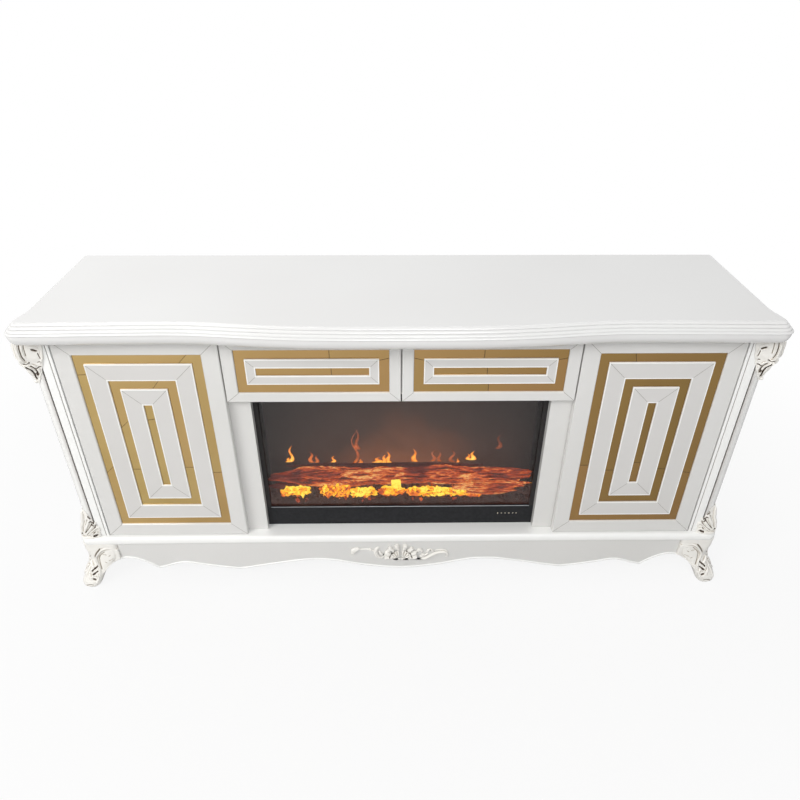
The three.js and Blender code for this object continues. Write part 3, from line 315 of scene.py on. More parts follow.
class Finish:
    """A material and the node calls that all the materials share."""

    def __init__(self, name, colour, roughness, metallic=0.0, coat=0.0):
        self.material = bpy.data.materials.new(name)
        self.material.use_nodes = True
        self.tree = self.material.node_tree
        self.shader = self.tree.nodes["Principled BSDF"]
        self.set("Base Color", colour)
        self.set("Roughness", roughness)
        self.set("Metallic", metallic)
        self.set("Coat Weight", coat)
        self.set("Coat Roughness", coat_roughness)
        self.place = self.add("ShaderNodeTexCoord").outputs["Object"]

    def set(self, socket, value):
        self.shader.inputs[socket].default_value = value

    def add(self, kind, values=None, **settings):
        return add_node(self.tree, kind, values, **settings)

    def link(self, source, target):
        self.tree.links.new(source, target)

    def noise(self, size, detail=2.0, stretch=(1, 1, 1), distortion=0.0):
        mapping = self.add("ShaderNodeMapping", {"Scale": stretch})
        texture = self.add("ShaderNodeTexNoise", {
            "Scale": 1 / size, "Detail": detail, "Distortion": distortion})
        self.link(self.place, mapping.inputs["Vector"])
        self.link(mapping.outputs["Vector"], texture.inputs["Vector"])
        return texture.outputs["Fac"]

    def span(self, source, low, high, from_low=0.3, from_high=0.7):
        """Runs from low to high while the source runs from from_low to from_high."""
        node = self.add("ShaderNodeMapRange", {
            "From Min": from_low, "From Max": from_high, "To Min": low, "To Max": high})
        self.link(source, node.inputs["Value"])
        return node.outputs["Result"]

    def blend(self, share, first, second):
        node = self.add("ShaderNodeMix", data_type="RGBA")
        self.link(share, node.inputs["Factor"])
        for value, socket in ((first, node.inputs["A"]), (second, node.inputs["B"])):
            if isinstance(value, tuple):
                socket.default_value = value
            else:
                self.link(value, socket)
        return node.outputs["Result"]

    def ramp(self, source, stops):
        """Colours along a value; the first stop is at 0 and the last at 1."""
        node = self.add("ShaderNodeValToRGB")
        elements = node.color_ramp.elements
        elements[0].color = stops[0][1]
        elements[1].color = stops[-1][1]
        for place, colour in stops[1:-1]:
            elements.new(place).color = colour
        self.link(source, node.inputs["Fac"])
        return node.outputs["Color"]

    def attribute(self, name):
        return self.add("ShaderNodeAttribute", attribute_name=name).outputs["Fac"]

    def axes(self):
        parts = self.add("ShaderNodeSeparateXYZ")
        self.link(self.place, parts.inputs[0])
        return parts.outputs

    def size_of(self, source):
        node = self.add("ShaderNodeMath", operation="ABSOLUTE")
        self.link(source, node.inputs[0])
        return node.outputs[0]

    def times(self, first, second):
        node = self.add("ShaderNodeMath", operation="MULTIPLY")
        self.link(first, node.inputs[0])
        if isinstance(second, (int, float)):
            node.inputs[1].default_value = second
        else:
            self.link(second, node.inputs[1])
        return node.outputs[0]

    def bump(self, height, distance, after=None):
        node = self.add("ShaderNodeBump", {"Distance": distance, "Strength": 1})
        self.link(height, node.inputs["Height"])
        if after is not None:
            self.link(after, node.inputs["Normal"])
        self.link(node.outputs["Normal"], self.shader.inputs["Normal"])
        return node.outputs["Normal"]

    def colour(self, source):
        self.link(source, self.shader.inputs["Base Color"])

    def roughness(self, source):
        self.link(source, self.shader.inputs["Roughness"])

    def glow(self, source, stops, strength):
        self.link(self.ramp(source, stops), self.shader.inputs["Emission Color"])
        self.set("Emission Strength", strength)


def lacquer(name, light, dark, roughness, coat=0.5, cavity_shade=None):
    """Sprayed paint: a faint ripple, slightly uneven gloss and, on carvings and posts, painted shade in
    hollows, cuts and grooves.
    """
    finish = Finish(name, light, roughness, coat=coat)
    tone = finish.blend(finish.span(finish.noise(0.5, 1), 0, 1, 0.2, 0.8), light, dark)
    if cavity_shade is not None:
        # Painted shade: the mesh's painted shade values darken the paint towards the two given shade
        # colours.
        hollow = finish.attribute("cavity_shade")
        tone = finish.blend(finish.span(hollow, 0, 1, 0.1, 0.45), tone, cavity_shade[0])
        tone = finish.blend(finish.span(hollow, 0, 1, 0.5, 0.9), tone, cavity_shade[1])
    finish.colour(tone)
    finish.roughness(finish.span(finish.noise(0.3, 1), roughness - 0.02, roughness + 0.02, 0.2, 0.8))
    ripple = finish.bump(finish.noise(6 * mm, 1), 0.02 * mm)
    finish.bump(finish.noise(50 * mm, 1), 0.08 * mm, after=ripple)
    return finish.material


gold_light_to_shade_stops = [(0.0, tint(206, 181, 120)), (0.25, tint(199, 170, 116)), (0.5, tint(184, 151, 101)),
              (0.75, tint(159, 129, 80)), (1.0, tint(134, 112, 68))]


def gold_mirror():
    """Toned mirror glass in pieces of slightly different tone, with a painted light gradient: paler to
    the left, where the light comes from.
    """
    finish = Finish("gold_mirror", tint(196, 166, 104), 0.06, metallic=1.0)
    # Painted light: the colour runs from pale at the left to dark at the right, as the light falls from
    # the left
    across = finish.span(finish.axes()["X"], 0, 1, -door_high.x, door_high.x)
    base = finish.ramp(across, gold_light_to_shade_stops)
    rosy = finish.blend(finish.times(finish.attribute("tone"), 0.55), base, tint(196, 148, 104))
    cloud = finish.span(finish.noise(0.22, 3, distortion=0.4), 0, 0.35)
    finish.colour(finish.blend(cloud, rosy, tint(172, 142, 82)))
    finish.roughness(finish.span(finish.noise(0.05, 2), 0.04, 0.09))
    finish.bump(finish.noise(0.35, 1), 0.3 * mm)
    return finish.material


def board(name, light, dark, roughness=0.5):
    """Laminated board with a fine pressed grain along its length."""
    finish = Finish(name, light, roughness)
    grain = finish.noise(0.03, 5, stretch=(1, 1, 14))
    finish.colour(finish.blend(finish.span(grain, 0, 1), light, dark))
    finish.roughness(finish.span(grain, roughness - 0.06, roughness + 0.08))
    finish.bump(finish.noise(1.2 * mm, 2), 0.05 * mm)
    return finish.material


def sheet_metal(name, light, dark, roughness, metallic, stretch=(1, 1, 1), grain=4 * mm):
    """Sheet with a fine streak and an uneven gloss; without metal it serves for plastic."""
    finish = Finish(name, light, roughness, metallic=metallic)
    streak = finish.noise(grain, 3, stretch=stretch)
    finish.colour(finish.blend(finish.span(streak, 0, 1), light, dark))
    finish.roughness(finish.span(finish.noise(0.03, 3), roughness - 0.06, roughness + 0.1))
    finish.bump(streak, 0.03 * mm)
    return finish.material


def trim_steel():
    """Black painted steel whose sides carry a painted reflection: the same grey veil as the glass beside
    them.
    """
    finish = Finish("trim_steel", tint(38, 39, 43), 0.4)
    finish.set("Specular IOR Level", 0.28)
    axes = finish.axes()
    across = finish.size_of(axes["X"])
    # Painted reflection: the sides next to the window take the glass's grey veil
    veil = finish.span(across, 0, 1, window_half - 2 * mm, window_half)
    rim = finish.span(across, 1, 0, trim_high.x - 7 * mm, trim_high.x - 5 * mm)
    above = finish.span(axes["Z"], 0, 1, window_low - 1 * mm, window_low + 1 * mm)
    mottle = finish.noise(0.01, 3)
    dark = finish.blend(finish.span(mottle, 0, 1), tint(24, 25, 29), tint(17, 18, 21))
    share = finish.times(finish.times(veil, rim), above)
    finish.colour(finish.blend(share, dark, tint(40, 38, 38)))
    finish.roughness(finish.span(mottle, 0.44, 0.56))
    return finish.material


def smoked_glass():
    """Clear toned glass: the reflection of the pale room lays a grey veil over the fire."""
    finish = Finish("insert_glass", tint(228, 224, 222), 0.02)
    finish.set("Transmission Weight", 1)
    finish.set("IOR", 1.36)
    haze = finish.noise(0.14, 2)
    finish.roughness(finish.span(haze, 0.01, 0.03))
    finish.colour(finish.blend(haze, tint(232, 228, 226), tint(222, 218, 216)))
    return finish.material


ember_stops = [
    (0.0, tint(20, 15, 14)), (0.16, tint(50, 20, 14)), (0.34, tint(176, 56, 14)),
    (0.54, tint(246, 132, 16)), (0.76, tint(255, 200, 22)), (1.0, tint(255, 238, 88))]
log_stops = [
    (0.0, tint(26, 13, 14)), (0.22, tint(96, 28, 18)), (0.46, tint(188, 72, 30)),
    (0.7, tint(240, 122, 50)), (1.0, tint(255, 200, 120))]
flame_stops = [
    (0.0, tint(92, 46, 36)), (0.3, tint(186, 94, 48)), (0.6, tint(250, 150, 46)),
    (1.0, tint(255, 232, 108))]
screen_stops = [(0.0, tint(30, 28, 29)), (0.5, tint(74, 54, 47)), (1.0, tint(146, 92, 66))]


def ember_resin():
    """Cast lumps lit from below: bright flakes with charred cracks."""
    finish = Finish("ember_resin", tint(70, 44, 34), 0.62)
    cracks = finish.span(finish.noise(0.024, 2, distortion=0.8), 0.66, 1.16, 0.36, 0.52)
    glow = finish.times(finish.attribute("glow"), cracks)
    finish.glow(glow, ember_stops, 1.35)
    finish.colour(finish.ramp(glow, [(0, tint(40, 33, 32)), (1, tint(150, 96, 50))]))
    finish.bump(finish.noise(4 * mm, 3), 0.8 * mm)
    return finish.material


def log_resin():
    """A cast log: bark with long pink and orange fissures that glow."""
    finish = Finish("log_resin", tint(96, 52, 38), 0.7)
    streak = finish.noise(0.009, 7, stretch=(0.26, 1, 1), distortion=1.8)
    finish.colour(finish.blend(finish.span(streak, 0, 1), tint(96, 44, 32), tint(40, 22, 22)))
    glow = finish.times(finish.span(streak, 0.42, 1.25, 0.36, 0.64), finish.attribute("glow"))
    finish.glow(glow, log_stops, 1.05)
    ridge = finish.bump(streak, 3 * mm)
    finish.bump(finish.noise(3 * mm, 3), 0.5 * mm, after=ridge)
    return finish.material


def flame_light():
    """Flames that thin out where they are cooler."""
    finish = Finish("flame_light", tint(120, 70, 50), 0.9)
    heat = finish.times(finish.attribute("glow"), finish.span(finish.noise(0.02, 2), 0.75, 1.25))
    finish.glow(heat, flame_stops, 1.5)
    finish.link(finish.span(heat, 0.0, 0.95, 0.05, 0.6), finish.shader.inputs["Alpha"])
    return finish.material


def glowing_screen():
    """The picture screen: a brown glow, strongest low in the middle, with soft clouds."""
    finish = Finish("screen_plastic", tint(30, 26, 25), 0.6)
    axes = finish.axes()
    side = finish.span(finish.size_of(axes["X"]), 1, 0.1, 0.1 * screen_high.x, screen_high.x)
    low = finish.span(axes["Z"], 1, 0.16, mix(screen_low.z, screen_high.z, 0.3), screen_high.z)
    cloud = finish.span(finish.noise(0.16, 2, distortion=0.5), 0.85, 1.15)
    finish.glow(finish.times(finish.times(side, low), cloud), screen_stops, 0.8)
    return finish.material


# Lit and shaded copies of one white lacquer: each piece is painted a lighter or darker white for how
# light falls on it. The base, posts and beads are brightest; the top, the fronts and the frames' rings
# are painted darker.
white_lacquer = lacquer("white_lacquer", tint(248, 248, 246), tint(243, 243, 241), 0.24)
top_shaded_lacquer = lacquer("top_shaded_lacquer", tint(231, 231, 230), tint(226, 225, 224), 0.24)
front_shaded_lacquer = lacquer("front_shaded_lacquer", tint(222, 221, 219), tint(216, 215, 212), 0.24)
ring_shaded_lacquer = lacquer("ring_shaded_lacquer", tint(214, 212, 210), tint(208, 206, 203), 0.22)
# Cream paint; its two shade colours are painted shade in the carvings' hollows and cuts
cream_carving = lacquer("cream_carving", tint(242, 240, 235), tint(236, 233, 227), 0.34, 0.25,
                        (tint(196, 188, 175), tint(66, 50, 38)))
# The posts' white with painted shade in the groove and quirk and on the column's side
post_shaded_lacquer = lacquer("post_shaded_lacquer", tint(248, 248, 246), tint(243, 243, 241), 0.24, 0.5,
                       (tint(212, 209, 206), tint(122, 116, 110)))
# Painted shade for the mitre grooves of the frames
mitre_painted_shade = lacquer("mitre_painted_shade", tint(150, 146, 140), tint(138, 134, 128), 0.4, 0.2)
white_board = board("white_board", tint(236, 234, 230), tint(228, 226, 221))
hard_board = board("hard_board", tint(226, 223, 217), tint(214, 210, 202), 0.62)
joint_mastic = board("joint_mastic", tint(64, 46, 24), tint(50, 36, 20), 0.7)
gold = gold_mirror()
trim_paint = trim_steel()
black_steel = sheet_metal("black_steel", tint(34, 35, 38), tint(24, 25, 28), 0.42, 0.35)
dark_steel = sheet_metal("dark_steel", tint(58, 59, 62), tint(44, 45, 48), 0.5, 0.6)
plain_steel = sheet_metal("plain_steel", tint(190, 192, 196), tint(160, 163, 168), 0.32, 1.0,
                          (1, 14, 14), 10 * mm)
lamp_plastic = sheet_metal("lamp_plastic", tint(236, 226, 206), tint(222, 208, 180), 0.4, 0.0)
insert_glass = smoked_glass()
ember_material = ember_resin()
log_material = log_resin()
flame_material = flame_light()
screen_material = glowing_screen()


# ---------------------------------------------------------------- mesh helpers

class Shell:
    """The corners and faces of one piece, gathered body by body, with a value at each corner."""

    def __init__(self):
        self.points = []
        self.faces = []
        self.values = []

    def loft(self, rings, values=None, closed=False):
        """A closed skin through rings of equal counts, with flat ends, or run round to its start."""
        start, count = len(self.points), len(rings[0])
        for ring in rings:
            self.points.extend(tuple(point) for point in ring)
        for row in range(len(rings) - (0 if closed else 1)):
            near, far = start + row * count, start + (row + 1) % len(rings) * count
            for k in range(count):
                after = (k + 1) % count
                self.faces.append((near + k, near + after, far + after, far + k))
        if not closed:
            last = start + (len(rings) - 1) * count
            self.faces.append(tuple(start + k for k in reversed(range(count))))
            self.faces.append(tuple(last + k for k in range(count)))
        if isinstance(values, list):
            self.values.extend(values)
        elif values is not None:
            self.values.extend([values] * (count * len(rings)))

    def mesh(self, name, layer=None):
        mesh = bpy.data.meshes.new(name)
        mesh.from_pydata(self.points, [], self.faces)
        if layer:
            mesh.attributes.new(layer, "FLOAT", "POINT").data.foreach_set("value", self.values)
        shape = bmesh.new()
        shape.from_mesh(mesh)
        bmesh.ops.recalc_face_normals(shape, faces=shape.faces)
        shape.to_mesh(mesh)
        shape.free()
        return mesh


def place_mesh(name, shape, material, nodes=(), body="cabinet", angle=60, layer=None):
    """Shades, paints and rides one finished piece: a mesh, or a shell with the layer its values fill."""
    mesh = shape.mesh(name, layer) if isinstance(shape, Shell) else shape
    mesh.polygons.foreach_set("use_smooth", [True] * len(mesh.polygons))
    mesh.set_sharp_from_angle(angle=math.radians(angle))
    mesh.materials.clear()
    mesh.materials.append(material)
    item = bpy.data.objects.new(name, mesh)
    scene.collection.objects.link(item)
    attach(item, body)
    if nodes:
        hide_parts(*nodes)


def mirrored(mesh, name):
    """The same mesh on the other side of the cabinet."""
    copy = mesh.copy()
    copy.name = name
    shape = bmesh.new()
    shape.from_mesh(copy)
    bmesh.ops.scale(shape, vec=(-1, 1, 1), verts=shape.verts)
    bmesh.ops.reverse_faces(shape, faces=shape.faces)
    shape.to_mesh(copy)
    shape.free()
    return copy


def place_pair(piece, mesh, material, node, angle=60):
    """A right-hand mesh and its mirror image, each in place of its side's node."""
    left = mirrored(mesh, "left_" + piece)
    place_mesh("right_" + piece, mesh, material, ("right_" + node,), angle=angle)
    place_mesh("left_" + piece, left, material, ("left_" + node,), angle=angle)


def rounded(item, width, angle=40, segments=2):
    """Softens a board's edges."""
    weld = item.modifiers.new("weld", "WELD")
    weld.merge_threshold = 0.02 * mm
    bevel = item.modifiers.new("edge", "BEVEL")
    bevel.width = width
    bevel.segments = segments
    bevel.limit_method = "ANGLE"
    bevel.angle_limit = math.radians(angle)
    bevel.use_clamp_overlap = True


# ---------------------------------------------------------------- moulded slabs

back_return = 4 * mm            # how far before the back edge a hanging lip ends
flare_steps, corner_steps = 12, 12
front_steps, plain_front_steps = 60, 12


class Slab:
    """A board whose outline in plan flares, turns a round corner and may bow in front."""

    def __init__(self, corner_half, side_half, front_overhang, bow, end_flare, back_y, corner_radius,
                 side_share):
        self.corner_half = corner_half
        self.side_half = side_half
        self.front_overhang = front_overhang
        self.bow = bow
        self.end_flare = end_flare
        self.back_y = back_y
        self.corner_radius = corner_radius
        self.side_share = side_share

    def front_line(self, x):
        share = abs(x) / bow_reach
        bow = math.cos(math.pi / 2 * share ** bow_flatness) ** 2 if share < 1 else 0
        flare = smooth_step((abs(x) - bow_reach) / (self.corner_half - bow_reach))
        return front_y - self.front_overhang - self.bow * bow - self.end_flare * flare

    def outline(self, inset):
        """The outline in plan, from the right back corner round the front to the left one."""
        side_step = inset * self.side_share
        side_x = self.side_half - side_step
        radius = self.corner_radius - side_step
        arc_x = self.corner_half - side_step - radius
        arc_y = self.front_line(arc_x) + inset + radius
        flare_start = arc_y + flare_length
        half = [(side_x, self.back_y), (side_x, self.back_y - back_return)]
        for k in range(flare_steps):
            share = k / flare_steps
            swell = (self.corner_half - self.side_half) * smooth_step(share)
            half.append((side_x + swell, flare_start - flare_length * share))
        half += [(arc_x + radius * c, arc_y - radius * s) for c, s in arc(corner_steps, math.pi / 2)]
        steps = front_steps if self.bow else plain_front_steps
        for x in (arc_x * (1 - k / steps) for k in range(1, steps)):
            half.append((x, self.front_line(x) + inset))
        middle = (0, self.front_line(0) + inset)
        return half + [middle] + [(-x, y) for x, y in reversed(half)]

    def shell(self, profile):
        """A ring for each step of the profile; at the back none lies below the board's underside."""
        underside = profile[-1][1]
        shell = Shell()
        shell.loft([[(x, y, max(z, underside) if y == self.back_y else z) for x, y in self.outline(inset)]
                    for inset, z in profile])
        return shell


top_corner_overhang = 4 * mm
top_side_overhang = 28 * mm
top_front_overhang = 58 * mm
top_bow = 32 * mm
top_end_flare = 5 * mm
top_corner_radius = 30 * mm
base_corner_overhang = 20 * mm
base_front_overhang = 13 * mm
base_side_overhang = 38 * mm
base_end_flare = 3 * mm
base_corner_radius = 26 * mm
side_outer = post_high.x - side_setback

top_plan = (post_high.x + top_corner_overhang, side_outer + top_side_overhang, top_front_overhang,
            top_bow, top_end_flare, top_high.y, top_corner_radius)
top_slab = Slab(*top_plan, reed_side_share)
cornice_slab = Slab(*top_plan, side_inset_share)
base_slab = Slab(post_high.x + base_corner_overhang, side_outer + base_side_overhang, base_front_overhang,
                 0, base_end_flare, base_high.y, base_corner_radius, side_inset_share)

# Reeds and the nose: (share of the depth in from the nose, share of the board's height), start and end
bead_shares = [((0.98, 0.965), (0.72, 0.76)), ((0.77, 0.735), (0.47, 0.5)), ((0.52, 0.475), (0.2, 0.27)),
               ((0.25, 0.245), (0.0, 0.06))]


def top_profile():
    height = top_high.z - top_low.z
    profile = [(reed_depth * 1.02, top_high.z)]
    for (in_start, up_start), (in_end, up_end) in bead_shares:
        profile += [(reed_depth * (in_start - (in_start - in_end) * s),
                     top_low.z + height * (up_end + (up_start - up_end) * c))
                    for c, s in arc(8, math.pi / 2)]
    profile.append((reed_depth * 0.05, top_low.z))
    return profile


def cornice_profile():
    depth, lowest = cove_depth - nose_lip, post_high.z + seat_gap
    height = cornice_high.z - lowest - 2 * nose_lip
    profile = [(nose_lip, cornice_high.z)]
    profile += [(nose_lip + depth * (1 - c), cornice_high.z - nose_lip - height * s)
                for c, s in arc(12, math.pi / 2)]
    profile.append((cove_depth, lowest))
    return profile


def base_profile():
    """A half-round nose whose lip hangs a little over the apron and the feet."""
    base_top = post_low.z - seat_gap
    lip_low = base_top - base_thickness - base_lip_drop
    profile = [((base_nose_depth if c > 0 else base_lip_depth) * (1 - s),
                mix(base_top, lip_low, (1 - c) / 2)) for c, s in arc(16, math.pi)]
    profile.append((base_lip_depth, base_top - base_thickness))
    return profile


for piece, slab, profile, material, node in (
        ("top_moulding", top_slab, top_profile(), top_shaded_lacquer, "top_board"),
        ("cornice_moulding", cornice_slab, cornice_profile(), top_shaded_lacquer, "cornice"),
        ("base_moulding", base_slab, base_profile(), white_lacquer, "base_board")):
    place_mesh(piece, slab.shell(profile), material, (node,), angle=28)


def round_bar(shell, x, y, profile, sides=24):
    """A turned body on an upright axis: rows of (radius, z)."""
    shell.loft([[(x + r * c, y + r * s, z) for c, s in circle(sides)] for r, z in profile])


def door_pivots():
    """A collar and two chamfered pins on each door's axis, in the gaps below and above the door."""
    shell = Shell()
    chamfer = 0.8 * mm
    tip = pivot_radius - chamfer
    base_top, cornice_under = post_low.z - seat_gap, post_high.z + seat_gap
    collar_top = base_top + edge_gap - seat_gap
    for side in (1, -1):
        x, y = side * (door_high.x - pivot_inset), front_y + pivot_inset
        round_bar(shell, x, y, [(collar_radius, base_top), (collar_radius, collar_top)])
        round_bar(shell, x, y, [(pivot_radius, collar_top), (pivot_radius, base_high.z - chamfer),
                                (tip, base_high.z)])
        round_bar(shell, x, y, [(tip, cornice_low.z), (pivot_radius, cornice_low.z + chamfer),
                                (pivot_radius, cornice_under)])
    return shell


place_mesh("door_pivots", door_pivots(), plain_steel, angle=32)


# ---------------------------------------------------------------- corner posts

post_ease = 0.8 * mm
# Painted shade on the post: darkest in the groove and quirk, a little darker on eased edges and the
# bead's sides
groove_shade = 0.85
quirk_shade = 0.8
ease_shade = 0.2
bead_shade = 0.3
# The column's painted shade, the painted shade added beside the groove and towards its side where it
# turns from the light, and where these end
column_shade = 0.16
column_start_shade, column_start_share = 0.34, 0.2
column_side_shade, column_side_share = 0.2, 0.55


def post_section():
    """The post in plan, with painted shade at each corner: a bead, a flat fillet, a groove, a column and
    the flat side.
    """
    ease, shoulder = post_ease, fillet_width
    start = shoulder + groove_width
    quirk_end = post_bead + post_quirk
    far = column_radius + groove_width
    points = [
        (0, ease, 0), (ease, 0, 0), (post_bead - ease, 0, 0), (post_bead, ease, bead_shade),
        (post_bead, post_quirk, quirk_shade), (quirk_end, post_quirk, quirk_shade),
        (quirk_end, ease, bead_shade), (quirk_end + ease, 0, 0), (shoulder - 2 * ease, 0, 0),
        (shoulder - ease, ease, ease_shade),
        (shoulder - ease, 1.5 * groove_depth, groove_shade), (start, 1.5 * groove_depth, groove_shade)]
    for k in range(25):
        share = k / 24
        turn = math.pi / 2 * (share - 1)
        tone = (column_shade + column_start_shade * max(0, 1 - share / column_start_share)
                + column_side_shade * max(0, share - column_side_share) / (1 - column_side_share))
        points.append((start + column_radius * math.cos(turn),
                       column_radius + column_radius * math.sin(turn), tone))
    points += [
        (post_width - groove_depth, column_radius, quirk_shade),
        (post_width - groove_depth, far, quirk_shade), (post_width - ease, far, ease_shade),
        (post_width, far + ease, 0), (post_width, post_width, 0), (0, post_width, 0)]
    return [(post_low.x + x, front_y + y, tone) for x, y, tone in points]


post_shell = Shell()
post_shell.loft([[(x, y, z) for x, y, _ in post_section()] for z in (post_low.z, post_high.z)],
                [tone for _, _, tone in post_section()] * 2)
post_mesh = post_shell.mesh("right_post_shaft", "cavity_shade")
for side, mesh in (("left", mirrored(post_mesh, "left_post_shaft")), ("right", post_mesh)):
    place_mesh(side + "_post_shaft", mesh, post_shaded_lacquer, (side + "_corner_post",),
               angle=24)


# ---------------------------------------------------------------- carving

def round_section(s):
    return math.sqrt(max(0.0, 1 - s * s))


lobe_level, lobe_edge, lobe_edge_at = 0.62, 0.38, 0.62
rib_rise, rib_half = 0.3, 0.14


def leaf_section(s):
    """A lobe with raised edges, a hollow and a fine rib along its middle."""
    edge = lobe_edge * min(1.0, abs(s) / lobe_edge_at) ** 1.5
    return round_section(s) * (lobe_level + edge + rib_rise * math.exp(-(s / rib_half) ** 2))


def sweep(shell, carrier, points, section=round_section, steps=7, root=2.5 * mm, taper=0.25):
    """A raised stroke along a carrier: points are (place, place, half width, height) in millimetres."""
    line = spline(points, steps)
    length = len(line) - 1
    spots = [carrier(p, q, 0.0) for p, q, _, _ in line]
    outs = [(carrier(p, q, mm) - spot).normalized() for (p, q, _, _), spot in zip(line, spots)]
    rings = []
    for k, (_, _, width, height) in enumerate(line):
        along = (spots[min(k + 1, length)] - spots[max(k - 1, 0)]).normalized()
        across = along.cross(outs[k]).normalized()
        share = min(1.0, (min(k, length - k) + 0.35) / (taper * length + 0.01))
        ease = math.sin(math.pi / 2 * share) ** 0.7
        half, rise = max(width, 0.3) * mm * ease, max(height, 0.2) * mm * ease
        ring = [spots[k] + across * (half * s) + outs[k] * (rise * section(s))
                for s, _ in arc(12, math.pi)]
        ring += [spots[k] + across * (half * side) - outs[k] * root for side in (-1, 1)]
        rings.append(ring)
    shell.loft(rings)


def bead(shell, carrier, p, q, radius):
    """A round drop on a carrier."""
    middle = carrier(p, q, 0.25 * radius * mm)
    rings = []
    for c, s in arc(8, math.pi)[1:-1]:
        r = radius * mm * s
        rings.append([middle + Vector((r * cos, r * sin, radius * mm * c)) for cos, sin in circle(14)])
    shell.loft(rings)


# How far below and above its carrier a cut reaches, and how many half widths to its sides
cut_below = 4 * mm
cut_above = 14 * mm
cut_spread = 1.6
# Painted shade in hollows at two scales: means taken, means of the result, weight; and the most painted
# shade they may give
hollow_scales = [(2, 2, 1.8), (12, 1, 0.5)]
hollow_limit = 0.52


def corner_vectors(mesh, name):
    """A vector of every corner of a mesh, as rows."""
    values = np.empty(len(mesh.vertices) * 3, np.float32)
    mesh.vertices.foreach_get(name, values)
    return values.reshape(-1, 3).astype(float)


def carved(name, node, shell, voxel, dents, soften=3):
    """Joins the bodies of a carving into one skin, presses its cuts in and paints shade into its hollows
    and cuts.

    A cut is (carrier, places, half width, depth, painted shade) and is pressed in near its carrier.
    """
    rough = bpy.data.objects.new(name + "_rough", shell.mesh(name + "_rough"))
    scene.collection.objects.link(rough)
    join = rough.modifiers.new("join", "REMESH")
    join.mode = "VOXEL"
    join.voxel_size = voxel
    soft = rough.modifiers.new("soften", "SMOOTH")
    soft.factor = 0.5
    soft.iterations = soften
    depsgraph = bpy.context.evaluated_depsgraph_get()
    mesh = bpy.data.meshes.new_from_object(rough.evaluated_get(depsgraph))
    mesh.name = name
    bpy.data.objects.remove(rough)
    count = len(mesh.vertices)
    places, normals = corner_vectors(mesh, "co"), corner_vectors(mesh, "normal")
    pressed = np.zeros(count)
    for carrier, points, width, depth, dark in dents:
        spots = spline(points, 4)
        line = np.array([carrier(p, q, 0.0) for p, q in spots])
        outs = (np.array([carrier(p, q, mm) for p, q in spots]) - line) / mm
        reach = np.full(count, np.inf)
        for start, end, out in zip(line[:-1], line[1:], outs):
            run = end - start
            share = np.clip((places - start) @ run / max(run @ run, 1e-12), 0, 1)
            off = places - start - share[:, None] * run
            rise = off @ out
            level = np.sqrt(np.maximum(np.einsum("ij,ij->i", off, off) - rise ** 2, 0))
            level[(rise < -cut_below) | (rise > cut_above)] = np.inf
            reach = np.minimum(reach, level)
        share = np.clip(1 - reach / (width * mm * cut_spread), 0, 1)
        press = share * share * (3 - 2 * share)
        pressed = np.maximum(pressed, press * dark)
        places -= normals * (press * depth * mm)[:, None]
    edges = np.empty(len(mesh.edges) * 2, np.int32)
    mesh.edges.foreach_get("vertices", edges)
    first, second = edges.reshape(-1, 2).T
    degree = np.bincount(first, minlength=count) + np.bincount(second, minlength=count)

    def spread(values, times):
        """Takes the mean of each corner's neighbours, a few times over."""
        columns = values.reshape(count, -1).T
        for _ in range(times):
            sums = [np.bincount(first, column[second], count) + np.bincount(second, column[first], count)
                    for column in columns]
            columns = np.array(sums) / degree
        return columns.T.reshape(values.shape)

    def hollow(times):
        """How far each corner lies below its surroundings, in voxels."""
        return np.einsum("ij,ij->i", spread(places, times) - places, normals) / voxel

    # Painted shade: the deeper a corner lies in a hollow or a cut, the darker its paint
    cavity_shade = sum(spread(hollow(means), blurs) * weight for means, blurs, weight in hollow_scales)
    cavity_shade = np.clip(cavity_shade, 0, hollow_limit) + pressed
    places = np.clip(places, *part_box(node))
    mesh.vertices.foreach_set("co", places.astype(np.float32).ravel())
    layer = mesh.attributes.new("cavity_shade", "FLOAT", "POINT")
    layer.data.foreach_set("value", np.clip(cavity_shade, 0, 1).astype(np.float32))
    mesh.update()
    return mesh


def both_sides(carrier, cuts, middle=0):
    """The same cuts on either side of a middle, as dents on a carrier."""
    return [(carrier, [(middle + side * p, q) for p, q in points], *cut)
            for side in (-1, 1) for points, *cut in cuts]


def post_point(along, z, out):
    """A place on the right post by its distance round the column from the outer corner."""
    quarter = math.pi / 4 * column_radius
    around = clamped(along, -quarter, quarter)
    turn = -math.pi / 4 + around / column_radius
    nx, ny = math.cos(turn), math.sin(turn)
    rest = along - around
    return Vector((post_high.x - column_radius + (column_radius + out) * nx - rest * ny,
                   front_y + column_radius + (column_radius + out) * ny + rest * nx, z))


# The capital is a console: flat cheeks rise from the post to a band along its outer corner.
# Rows of (share down, half spread, half width of the band, reach), lengths in millimetres
capital_rows = [
    (0.0, 47, 8, 26), (0.15, 49, 8.5, 28.5), (0.36, 44, 8.5, 30), (0.52, 37, 6.5, 26),
    (0.68, 29, 4.6, 16), (0.85, 18, 3.2, 8), (1.0, 8, 2.2, 3.5)]
capital_height = capital_high.z - capital_low.z
cheek_lift = 2.5 * mm
back_lift = 0.6 * mm


def capital_at(down):
    return [value * mm for value in table_at(capital_rows, clamped(down / capital_height))]


def cheek_point(side):
    """Places on a cheek: share from the post's face (0) to the band (1), millimetres down."""
    def carrier(share, down, out):
        down *= mm
        spread, band, reach = capital_at(down)
        z = capital_high.z - down
        low = post_point(side * spread, z, cheek_lift)
        high = post_point(side * band, z, reach)
        across = (high - low).normalized()
        normal = across.cross(Vector((0, 0, 1))) * -side
        if normal.dot(Vector((1, -1, 0))) < 0:
            normal = -normal
        return low + (high - low) * share + normal * out
    return carrier


def band_point(share, down, out):
    """Places on the band: share of its half width, millimetres down."""
    down *= mm
    _, band, reach = capital_at(down)
    return post_point(share * band, capital_high.z - down, reach + out)


